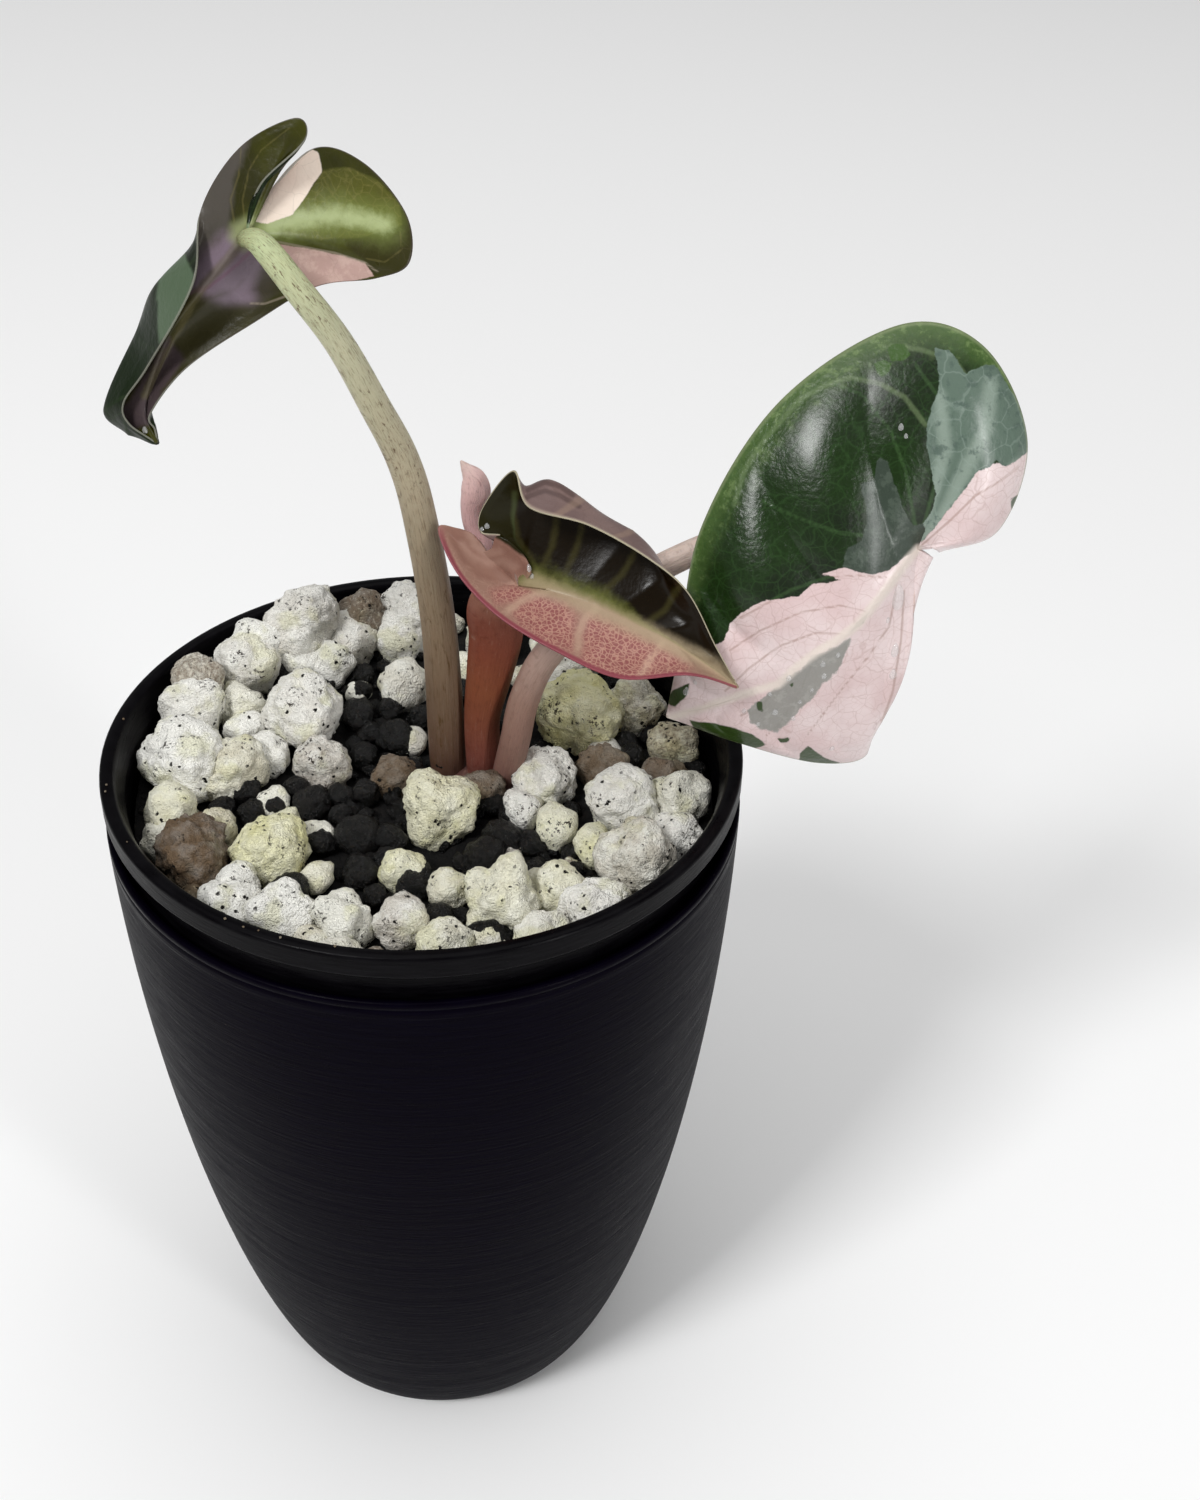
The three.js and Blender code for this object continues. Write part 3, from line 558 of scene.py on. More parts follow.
def crestCurve(inner, crest, outer, out):
    row = [inner * 2 - crest, inner, crest, outer, outer * 2 - crest]
    piece = 1 if out >= 0.5 else 0
    part = 2 * out - piece
    a, b, c, d = row[piece : piece + 4]
    before, here, after = (max((q - p).length, 1e-4) ** 0.5 for p, q in ((a, b), (b, c), (c, d)))
    start = ((b - a) / before - (c - a) / (before + here) + (c - b) / here) * here
    end = ((c - b) / here - (d - b) / (here + after) + (d - c) / after) * here
    return b + start * part + ((c - b) * 3 - start * 2 - end) * part**2 + ((b - c) * 2 + start + end) * part**3


# Stalks, in mm: the points of each midline, its half widths there and its colours from foot to tip
stalks = {
    "rows": 150,
    "sides": 40,
    "left": {
        "points": [
            (2.5, 9, 116), (2.5, 9, 123), (2, 7, 148.5), (0, 5, 168.5), (-2, 4, 178.5), (-5.2, 1, 188.3),
            (-9, -2, 198.6), (-13.7, -4, 207), (-18.6, -1.4, 212), (-21.6, 1.3, 211.4),
        ],
        "halves": [
            (2.6, 2.6), (3, 2.8), (2.7, 2.6), (2.5, 2.4), (2.4, 2.3), (2.2, 2.1), (2, 2), (1.9, 1.8), (1.7, 1.6),
            (0.9, 0.8),
        ],
        "slot": "petiole_left",
        "tones": [
            (0, "#50342f"), (0.1, "#63483b"), (0.22, "#84705a"), (0.45, "#b0a68c"), (0.68, "#bcba9b"),
            (0.87, "#b3bd90"), (0.94, "#a3ab7c"), (1, "#66653f"),
        ],
        "blotch": "#5a4328",
        "blotches": 0.9,
    },
    "middle": {
        "points": [
            (8.5, 7, 116), (8.5, 7, 123), (8.5, 7, 131), (10, 6, 141), (11, 5, 148), (11.2, 3.6, 154),
            (13, 1.4, 160),
        ],
        "halves": [(2.4, 2.4), (2.8, 2.6), (2.9, 2.8), (3.7, 2.9), (4.1, 2.8), (4.3, 2.4), (3.4, 1.5)],
        "slot": "petiole_middle",
        "tones": [
            (0, "#66403a"), (0.2, "#7a463b"), (0.45, "#84492f"), (0.62, "#7d3f2c"), (0.8, "#7a4233"),
            (1, "#97705d"),
        ],
        "blotch": "#5e2416",
        "blotches": 0.45,
    },
    "right": {
        "points": [
            (12.3, 3.6, 116), (12.5, 4, 121), (14, 3, 129.5), (15.5, 3, 137.5), (19, 3, 146), (27, 5, 154),
            (37.5, 8, 160), (47.5, 10, 163.5), (59.5, 10, 165), (68, 6.5, 166.5), (73, 2.4, 167),
        ],
        "halves": [
            (2.1, 2.1), (2.4, 2.3), (2.4, 2.3), (2.4, 2.3), (2.3, 2.2), (2.2, 2.1), (2.1, 2), (2, 1.9), (1.8, 1.8),
            (1.6, 1.6), (1.4, 1.4),
        ],
        "slot": "petiole_right",
        "tones": [
            (0, "#5c3b36"), (0.12, "#7d5b52"), (0.3, "#9a7a6d"), (0.5, "#b9a398"), (0.8, "#d6c6bb"), (1, "#cfc2b4"),
        ],
        "blotch": "#5b4034",
        "blotches": 0.3,
    },
    "spear": {
        "points": [
            (10.5, 7.5, 149), (9.4, 9, 157), (8.8, 9.5, 161.8), (7.6, 9.5, 164.9), (7.5, 9.4, 168),
            (8.1, 9.1, 170.7), (7.8, 8.8, 173), (6.7, 8.6, 174.8), (6, 8.4, 176),
        ],
        "halves": [
            (1.2, 1.2), (1.7, 1.6), (1.7, 1.6), (1.6, 1.5), (1.8, 1.6), (2.2, 1.7), (1.8, 1.3), (0.8, 0.7),
            (0.15, 0.15),
        ],
        "slot": "new_leaf_spear",
        "tones": [(0, "#b58c8b"), (0.4, "#dab0af"), (0.75, "#e0bdb9"), (1, "#e2cbc2")],
        "blotch": "#8e5656",
        "blotches": 0.4,
    },
}


def stalkSkin(name, form):
    # Living stalk: smooth waxy skin, brown mottling drawn out along it and fine lengthwise fibres
    material = newMaterial(name, Roughness=0.46, Specular_IOR_Level=0.4, Subsurface_Weight=0.06, Subsurface_Scale=0.002)
    place = addNode(material, "TexCoord", {}, "Object")
    along, around, length = (
        addNode(material, "Attribute", {}, "Fac", attribute_name=layer) for layer in ("along", "around", "length")
    )
    grains = []
    for drawn, shift, scale, rough in ((0.12, 0.3, 3.4, 0.7), (0.45, 4, 1.4, 0.65)):  # the fibres, then the blotches
        where = addNode(material, "CombineXYZ", [around, addNode(material, "Math", [length, drawn], **times), shift])
        grains.append(addNode(material, "TexNoise", {"Vector": where, "Scale": scale, "Detail": 4, "Roughness": rough}))
    fibres, blotches = grains
    clusters = addNode(material, "TexNoise", {"Vector": place, "Scale": 1 / (14 * mm), "Detail": 2, "Roughness": 0.55})
    cluster = addNode(material, "MapRange", [clusters, 0.42, 0.58], **smooth)
    tone = addNode(material, "ValToRGB", [along])
    stops = tone.node.color_ramp.elements
    for i, (spot, colour) in enumerate(form["tones"]):
        stop = stops[i] if i < 2 else stops.new(spot)
        stop.position, stop.color = spot, linear(colour)
    tone = layered(material, tone, [
        ([fibres, 0.48, 0.7, 0, 0.5 * (0.4 + form["blotches"])], form["blotch"]),
        ([blotches, 0.57, 0.68, 0, form["blotches"]], form["blotch"], cluster),
        ([fibres, 0.42, 0.25, 0, 0.12], "#e6dccb"),
    ])
    return dress(material, tone, fibres, 0.16)


def addStalk(name, form, node):
    points = [Vector(p) for p in form["points"]]
    halves = [Vector((a, b, 0)) for a, b in form["halves"]]
    mesh = bmesh.new()
    layers = [mesh.verts.layers.float.new(layer) for layer in ("along", "around", "length")]
    bmesh.ops.create_grid(mesh, x_segments=stalks["sides"], y_segments=stalks["rows"], size=1)
    total = sum((q - p).length for p, q in zip(points, points[1:]))
    for vert in mesh.verts:
        turn, share = math.pi * (vert.co.x + 1), (vert.co.y + 1) / 2
        centre = curveAt(points, share)
        along = (curveAt(points, min(1, share + 0.01)) - curveAt(points, max(0, share - 0.01))).normalized()
        size = curveAt(halves, share)
        across = Vector((0, 1, 0)).cross(along).normalized()
        deep = along.cross(across).normalized()
        cap = math.sqrt(max(0, 1 - (1 - min(1, share * total / size.x, (1 - share) * total / size.x)) ** 2))
        ridge = 1 + 0.02 * math.sin(9 * turn) * math.sin(share * 5 + 1)
        point = centre + (across * (size.x * math.cos(turn)) + deep * (size.y * math.sin(turn))) * (cap * ridge)
        for layer, value in zip(layers, (share, 2 * math.sin(turn) + 3 * math.cos(turn), share * total)):
            vert[layer] = value
        vert.co = point * mm
    bmesh.ops.remove_doubles(mesh, verts=mesh.verts, dist=0.003 * mm)
    bmesh.ops.recalc_face_normals(mesh, faces=mesh.faces)
    finishPiece(mesh, name, [stalkSkin(name + "Skin", form)], [node])


for name, node in (("left", "petiole_left"), ("middle", "petiole_middle"), ("right", "petiole_right")):
    addStalk(name + "Stalk", stalks[name], node)
addStalk("newLeafSpear", stalks["spear"], "new_leaf_spear")


# Stem base: the corm's top, a knobbly ball a little smaller than its solid
stem = {"fill": 0.97, "knobs": 0.06, "grain": 0.03, "tone": "#5a3a34", "ringTone": "#8a6656"}


def addStemBase():
    low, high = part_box("stem_base")
    centre, half = (low + high) / 2, (high - low) / 2 * stem["fill"]
    mesh = bmesh.new()
    for vert in bmesh.ops.create_icosphere(mesh, subdivisions=5, radius=1)["verts"]:
        rough = 1 + stem["knobs"] * noise.noise(vert.co * 3) + stem["grain"] * noise.noise(vert.co * 9)
        vert.co = Vector([centre[i] + vert.co[i] * half[i] * rough for i in range(3)])
    skin = newMaterial("cormSkin", Roughness=0.7)  # corm: papery brown-pink skin with rings
    where = addNode(skin, "Mapping", {"Vector": addNode(skin, "TexCoord", {}, "Object"), "Scale": (1, 1, 6)})
    rings = addNode(skin, "TexNoise", {"Vector": where, "Scale": 1 / (5 * mm), "Detail": 3, "Roughness": 0.6})
    tone = layered(skin, stem["tone"], [([rings, 0.45, 0.7], stem["ringTone"])])
    finishPiece(mesh, "stemBase", [dress(skin, tone, rings, 0.3)], ["stem_base"])


addStemBase()
print("stalks grown")


# Leaves: each one grown from its midrib and the two margins, in mm
evenVeins = [-1.3, -0.75, -0.25, 0.1, 0.28, 0.46, 0.63, 0.79, 0.93, 1.1]
leaves = {
    "thick": 0.55,
    "edge": 0.42,
    "edgeWidth": 0.12,
    "rows": 190,
    "columns": 128,
    "fanShare": 0.36,
    "right": {
        "rib": [(73, 2, 167), (71, 0, 166), (66, -4, 160.5), (59, -6, 153), (47.5, -5, 144.5), (37.5, -4, 140)],
        "puffWay": (0, -0.8, 0.6),
        "ribRise": 0.45,
        "face": 1,
        "sides": [
            {
                "margin": [
                    (76.5, 3, 166), (85.5, 6, 168.5), (88, 9, 181.5), (80.5, 13, 194), (68.5, 15, 196),
                    (52, 11, 185.5), (41.5, 4, 168.5), (39, -2, 151), (37.5, -4, 140),
                ],
                "puff": 3.5,
                "quilt": 1.9,
                "veins": [-1.4, -1, -0.63, -0.25, 0.04, 0.25, 0.46, 0.65, 0.81, 0.95, 1.1],
            },
            {
                "margin": [
                    (75, 5, 164), (70, 11, 157), (65.5, 13, 150), (65, 12, 141.5), (67, 10, 134), (70, 3, 129),
                    (62, 0, 129), (48.5, -4, 135.5), (37.5, -4, 140),
                ],
                "crest": [
                    (75.3, 3, 165), (74, 3, 159.5), (72.5, 2, 151), (72.5, 1, 145), (71.5, 1, 139),
                    (68.5, 0, 134.5), (58.5, -2, 135), (46.5, -4.5, 139.5), (37.5, -4, 140),
                ],
                "puff": 1.6,
                "quilt": 0.9,
                "veins": evenVeins,
            },
        ],
    },
    "middle": {
        "rib": [(15, -1, 160.5), (21, -3, 161), (27, -5, 160), (33, -7, 158), (38.5, -9, 156), (47.5, -11, 150.5)],
        "puffWay": (0, 0.5, -0.85),
        "ribRise": 0.3,
        "face": 1,
        "sides": [
            {
                "margin": [
                    (12, 2, 167.5), (9, 3, 167.5), (9.5, 4, 171), (14, 3, 177.5), (16.5, -3, 175), (25, -5, 173.5),
                    (33.5, -6, 169), (39.5, -6, 163.5), (44, -9, 156), (47.5, -11, 150.5),
                ],
                "crest": [
                    (13.8, 0.6, 165.3), (12.5, 1.6, 166.9), (12.2, 3, 168.4), (14.5, 3.5, 171.5), (19, 3, 176.5),
                    (26.5, 1, 172.5), (34, -2, 168.5), (38, -6, 161), (42.8, -9.2, 155.3), (47.5, -11, 150.5),
                ],
                "puff": 1,
                "quilt": 0.8,
                "veins": evenVeins,
            },
            {
                "margin": [
                    (16.7, -1.2, 163.1), (16.1, -0.8, 164.9), (14.7, -0.3, 166.7), (13.1, 0.4, 167.6),
                    (11.5, 1.2, 167.6), (10.7, 1.6, 165.3), (9, 2.2, 164.7), (8.1, 2.8, 166.9), (5.4, 2.6, 168.1),
                    (3, 2, 168.2), (6, -3, 164), (12, -8, 160), (20.5, -13, 157.5), (30, -16, 155),
                    (40, -14, 154.5), (47.5, -11, 150.5),
                ],
                "puff": 1.2,
                "quilt": 0.5,
                "veins": evenVeins,
            },
        ],
    },
    "left": {
        "rib": [
            (-20.5, 1, 212.5), (-22.5, 1.5, 210.5), (-27, 2, 205), (-32.5, 2, 198), (-36.5, 1, 189.5),
            (-37, 0, 186), (-35.5, -1, 182.5),
        ],
        "puffWay": (0, 1, 0.2),
        "ribRise": -0.6,
        "face": -1,
        "sides": [
            {
                "margin": [
                    (-20.5, 2, 214), (-18.4, 3, 218.6), (-12.8, 5, 223.5), (-14, 6, 226), (-21.5, 6, 222),
                    (-27.5, 6, 213.5), (-27.5, -3, 207), (-35.5, -1, 194), (-39.5, -1, 188.5), (-39, -1.5, 185.5),
                    (-35.5, -1, 182.5),
                ],
                "crest": [
                    (-20.5, 1.5, 213), (-19.6, 2, 216.2), (-16, 4, 220), (-16.5, 4, 221), (-21.5, 4, 217),
                    (-25.5, 4, 211), (-34, 4, 203.5), (-38, 5, 196), (-43, 1.5, 186), (-39.5, 0, 183.2),
                    (-35.5, -1, 182.5),
                ],
                "puff": 0.6,
                "quilt": 0.6,
                "veins": evenVeins,
            },
            {
                "margin": [
                    (-19, 5, 215), (-12.5, 9, 221), (-6, 10, 219), (-0.5, 9, 212.5), (0, 6, 207), (-4.5, 5, 205),
                    (-12.5, 4, 204), (-21, 2, 199.5), (-30.5, 0, 193.5), (-36, -1, 187), (-35.7, -1, 184.5),
                    (-35.5, -1, 182.5),
                ],
                "puff": 1.5,
                "quilt": 0.6,
                "veins": evenVeins,
            },
        ],
    },
}


def leafSide(leaf, side):  # the place at "stage" along the midrib and "out" from it to the margin
    rib, margin = [Vector(p) for p in leaf["rib"]], [Vector(p) for p in side["margin"]]
    crest = [Vector(p) for p in side.get("crest", [])]
    fan = (len(margin) - len(rib)) / (len(margin) - 1)
    way = Vector(leaf["puffWay"]).normalized()
    rows = {}

    def phaseAt(stage, out):  # runs up by one from each side vein to the next
        return float(np.interp(stage - 0.15 * out * (1 - out), side["veins"], range(len(side["veins"]))))

    def placeAt(stage, out):
        onRib = max(0, stage)
        along = fan * (1 + stage) if stage < 0 else fan + (1 - fan) * stage
        if stage not in rows:
            rows[stage] = [curveAt(rib, onRib), curveAt(margin, along), curveAt(crest, along) if crest else None]
        inner, outer, middle = rows[stage]
        point = crestCurve(inner, middle, outer, out) if crest else inner.lerp(outer, out)
        phase = phaseAt(stage, out)
        hump, bulge = 4 * out * (1 - out), 2 * abs(math.sin(math.pi * phase)) ** 0.8 - 1.2
        lift = side["puff"] * hump + side["quilt"] * bulge * hump * hump * onRib
        rise = leaf["ribRise"] * math.exp(-(((outer - inner).length * out / 0.9) ** 2)) * (0.4 + 0.6 * (1 - onRib))
        return point + way * (lift * (1 - onRib**4) + rise), along, phase

    return placeAt


def leafMesh(leaf):
    mesh = bmesh.new()
    layers = [mesh.verts.layers.float.new(name) for name in ("along", "out", "vein")]
    bmesh.ops.create_grid(mesh, x_segments=leaves["columns"], y_segments=leaves["rows"], size=1)
    sides = [leafSide(leaf, side) for side in leaf["sides"]]
    share = leaves["fanShare"]
    for vert in mesh.verts:
        u, v = vert.co.x, (vert.co.y + 1) / 2
        stage = round(v / share - 1 if v < share else (v - share) / (1 - share), 6)
        placeAt = sides[0] if u >= 0 else sides[1]
        out = abs(u)
        point, along, phase = placeAt(stage, out)
        aside = 0.004 if stage < 0.9 else -0.004  # a short way along, to measure how far apart the veins lie
        near, _, nearPhase = placeAt(round(stage + aside, 6), out)
        change = abs(nearPhase - phase)
        spacing = (near - point).length / change if change > 1e-6 else 9
        vert.co = point * mm
        for layer, value in zip(layers, (along, u, abs(phase - round(phase)) * min(spacing, 12))):
            vert[layer] = value
    bmesh.ops.remove_doubles(mesh, verts=mesh.verts, dist=0.02 * mm)
    bmesh.ops.recalc_face_normals(mesh, faces=mesh.faces)
    mesh.normal_update()
    front = sum((Vector(sight["eye"]) - f.calc_center_median()).dot(f.normal) * f.calc_area() for f in mesh.faces)
    if front * leaf["face"] < 0:  # faces point out of the upper side; "face" -1 turns that side away
        bmesh.ops.reverse_faces(mesh, faces=mesh.faces)
    return mesh


# Markings: drawn in picture points over each leaf, which carries them on its own surface
markings = {
    "right": {
        "areas": {
            "green": [[
                (640, 690), (700, 655), (724, 640), (729, 624), (750, 607), (764, 600), (798, 596), (812, 584),
                (842, 579), (822, 574), (843, 566), (853, 566), (888, 566), (914, 536), (934, 520), (958, 490),
                (976, 466), (1008, 461), (1018, 453), (1060, 430), (1040, 350), (980, 300), (900, 290), (760, 330),
                (650, 560),
            ]],
            "greyLow": [[
                (843, 566), (847, 548), (860, 541), (866, 524), (866, 507), (861, 493), (860, 483), (874, 481),
                (876, 465), (879, 457), (888, 462), (891, 476), (898, 493), (901, 507), (907, 517), (912, 525),
                (922, 523), (926, 530), (917, 548), (902, 558), (888, 570), (871, 575), (853, 570),
            ]],
            "mint": [[
                (934, 348), (950, 352), (962, 369), (966, 375), (970, 371), (981, 366), (995, 366), (1002, 379),
                (1012, 393), (1024, 412), (1045, 440), (1019, 457), (1009, 465), (1001, 465), (995, 459),
                (990, 466), (978, 470), (960, 494), (947, 511), (936, 525), (922, 541), (914, 538), (922, 524),
                (933, 507), (935, 493), (931, 469), (926, 445), (926, 428), (931, 407), (938, 393), (939, 376),
            ]],
            "greyPatch": [[
                (850, 637), (843, 659), (836, 672), (822, 683), (812, 697), (798, 710), (788, 721), (776, 731),
                (760, 728), (750, 721), (747, 710), (760, 700), (769, 690), (778, 683), (795, 671), (815, 655),
            ]],
            "dark": [
                [(689, 683), (673, 690), (666, 702), (676, 706), (688, 694)],
                [(690, 719), (715, 722), (738, 728), (752, 733), (766, 743), (745, 752), (716, 742), (696, 730)],
                [(777, 737), (791, 736), (788, 741), (779, 741)],
                [(800, 752), (808, 744), (815, 750), (824, 756), (840, 762), (815, 770), (798, 762)],
                [(870, 750), (880, 742), (878, 756), (868, 760)],
                [(1009, 498), (1019, 494), (1018, 508), (1011, 511)],
                [(845, 634), (855, 623), (868, 611), (862, 622), (852, 630)],
                [(757, 700), (762, 701), (763, 711), (757, 709)],
                [(789, 683), (794, 681), (792, 687)],
            ],
            "bright": [
                [(887, 350), (893, 344), (904, 345), (911, 355), (904, 361), (892, 362)],
                [(874, 364), (884, 360), (892, 365), (889, 374), (879, 378)],
            ],
        },
        "lines": {
            "rib": [[
                (917, 548), (905, 562), (888, 586), (874, 603), (857, 624), (836, 640), (815, 652), (798, 665),
                (778, 683), (743, 693), (698, 709), (668, 717),
            ]],
            "side": [
                [(885, 577), (860, 575), (830, 576), (790, 590), (740, 618)],
                [(912, 543), (890, 536), (862, 535), (840, 533), (800, 518), (760, 500)],
                [(917, 540), (910, 500), (905, 470), (890, 430), (862, 395), (835, 385)],
                [(918, 540), (930, 500), (945, 450), (940, 400), (915, 365)],
                [(922, 541), (945, 512), (960, 480), (985, 430), (990, 385)],
                [(922, 545), (950, 520), (975, 495), (1000, 480), (1018, 465)],
                [(868, 612), (840, 605), (800, 612), (760, 630), (730, 650)],
                [(845, 634), (815, 632), (780, 645), (748, 668), (725, 690)],
                [(895, 590), (888, 625), (868, 655), (838, 692), (806, 735)],
                [(903, 590), (900, 640), (892, 690), (878, 730)],
                [(815, 655), (800, 690), (780, 722), (765, 735)],
                [(780, 682), (765, 700), (740, 715)],
            ],
            "submargin": [
                [
                    (735, 505), (745, 470), (765, 440), (800, 400), (825, 386), (850, 378), (880, 384), (905, 398),
                    (925, 425),
                ],
                [(890, 346), (920, 350), (955, 362), (970, 385), (965, 420)],
            ],
        },
    },
    "middle": {
        "areas": {
            "swirl": [[
                (440, 525), (478, 527), (500, 535), (515, 545), (530, 563), (532, 578), (505, 585), (480, 580),
                (462, 566),
            ]],
            "lobe": [[
                (478, 535), (480, 500), (500, 475), (516, 468), (521, 490), (515, 515), (516, 540), (535, 565),
                (510, 545), (490, 534),
            ]],
            "crimson": [
                [(590, 615), (622, 626), (660, 648), (690, 668), (670, 690), (620, 684), (580, 664), (584, 636)],
                [(540, 598), (570, 606), (575, 622), (572, 652), (545, 646), (520, 626), (512, 614), (528, 602)],
                [(490, 592), (520, 586), (535, 592), (515, 602), (495, 604)],
            ],
        },
        "lines": {
            "rib": [[
                (530, 582), (548, 588), (570, 598), (600, 612), (640, 630), (680, 650), (712, 666), (738, 690),
            ]],
            "cream": [
                [(577, 650), (579, 634), (585, 619), (596, 609)],
                [(508, 612), (527, 598), (548, 591)],
                [(470, 566), (500, 578), (532, 584)],
                [(640, 680), (648, 662), (662, 644)],
            ],
            "olive": [
                [(557, 512), (556, 528), (552, 547), (543, 566)],
                [(583, 516), (581, 532), (576, 550), (562, 580)],
                [(640, 540), (632, 558), (622, 575), (598, 598)],
                [(690, 570), (676, 592), (665, 610), (648, 622)],
                [(515, 492), (514, 515), (518, 538), (532, 560)],
            ],
            "whorl": [
                [(463, 545), (470, 556), (486, 563), (503, 560), (515, 566)],
                [(470, 532), (474, 545), (486, 553), (500, 551)],
            ],
            # creases where the leaf folds, for painted shade
            "foldShade": [
                [(527, 492), (545, 484), (560, 488), (572, 497)],
                [(522, 500), (545, 492), (560, 497), (578, 508)],
                [(530, 484), (552, 478), (570, 486)],
            ],
        },
    },
    "left": {
        "nearHalf": ["cream", "pink", "greenPatch", "brown"],
        "areas": {
            "cream": [[
                (310, 148), (318, 152), (322, 172), (308, 192), (292, 215), (268, 224), (246, 222), (254, 198),
                (262, 182), (285, 166), (300, 156),
            ]],
            "pink": [[
                (262, 239), (300, 246), (335, 253), (365, 262), (374, 276), (345, 283), (318, 292), (300, 285),
                (275, 262),
            ]],
            "greenPatch": [[
                (290, 216), (308, 192), (322, 170), (345, 166), (380, 180), (400, 205), (402, 226), (360, 238),
                (320, 240), (280, 234),
            ]],
            "joint": [[(236, 226), (250, 220), (266, 224), (274, 233), (260, 244), (244, 246), (234, 238)]],
            "brown": [[(345, 244), (392, 236), (412, 222), (414, 262), (395, 276), (370, 276), (366, 262)]],
            "grey": [[
                (252, 134), (236, 180), (232, 225), (196, 262), (175, 262), (180, 230), (205, 170), (230, 140),
            ]],
            "lilac": [
                [(246, 228), (262, 250), (255, 275), (235, 292), (205, 296), (192, 290), (196, 262), (225, 236)],
                [(255, 252), (275, 262), (270, 290), (252, 304), (225, 306), (210, 300), (235, 285)],
            ],
            "darkLow": [
                [
                    (196, 292), (225, 305), (255, 306), (288, 296), (262, 318), (220, 345), (190, 362), (168, 372),
                    (170, 330),
                ],
                [(262, 262), (285, 280), (287, 294), (262, 302), (252, 290)],
            ],
            "purple": [[
                (168, 335), (186, 360), (165, 390), (150, 425), (120, 432), (105, 425), (130, 400), (150, 370),
            ]],
            "deep": [[(160, 300), (158, 347), (141, 381), (126, 399), (100, 412), (110, 370), (140, 315)]],
            "light": [[(163, 262), (186, 254), (195, 276), (190, 304), (172, 330), (160, 344), (158, 300)]],
        },
        "lines": {
            "rib": [[
                (250, 228), (238, 246), (225, 262), (206, 282), (192, 300), (178, 330), (162, 360), (145, 395),
            ]],
            "plum": [[(250, 250), (238, 262), (222, 275), (205, 287), (190, 294)]],
            # ridge: the path of a painted highlight along the right lobe's convex crest
            "ridge": [[(272, 226), (300, 219), (335, 216), (362, 219), (384, 224)]],
            "pale": [
                [(250, 303), (265, 304), (287, 296)],
                [(262, 237), (300, 245), (335, 252), (365, 262), (378, 272)],
            ],
            "net": [
                [(290, 215), (305, 190), (325, 172), (350, 168), (375, 182), (392, 200)],
                [(300, 219), (325, 200), (345, 180), (352, 168)],
                [(330, 216), (350, 200), (372, 182)],
                [(320, 172), (332, 195), (350, 216)],
                [(345, 170), (348, 192), (372, 220)],
                [(242, 140), (240, 175), (232, 200), (236, 222)],
                [(290, 128), (262, 150), (250, 170), (244, 200), (246, 222)],
                [(400, 232), (402, 250), (385, 262), (366, 258)],
            ],
        },
    },
}


def markLeaf(piece, marks):  # gives every point of the leaf its distance to each marking
    data = piece.data
    flat = np.empty(len(data.vertices) * 3)
    data.vertices.foreach_get("co", flat)
    spots = pictureOf(flat.reshape(-1, 3))
    half = np.empty(len(data.vertices))
    data.attributes["out"].data.foreach_get("value", half)
    for name, outlines in marks["areas"].items():
        values = np.max([inwards(spots, outline) for outline in outlines], axis=0)
        if name in marks.get("nearHalf", []):  # a marking that the other half hides from in front
            values = np.where(half < 0, values, -50)
        data.attributes.new(name, "FLOAT", "POINT").data.foreach_set("value", values)
    for name, paths in marks["lines"].items():
        values = np.min([reach(spots, path) for path in paths], axis=0)
        data.attributes.new(name, "FLOAT", "POINT").data.foreach_set("value", values)


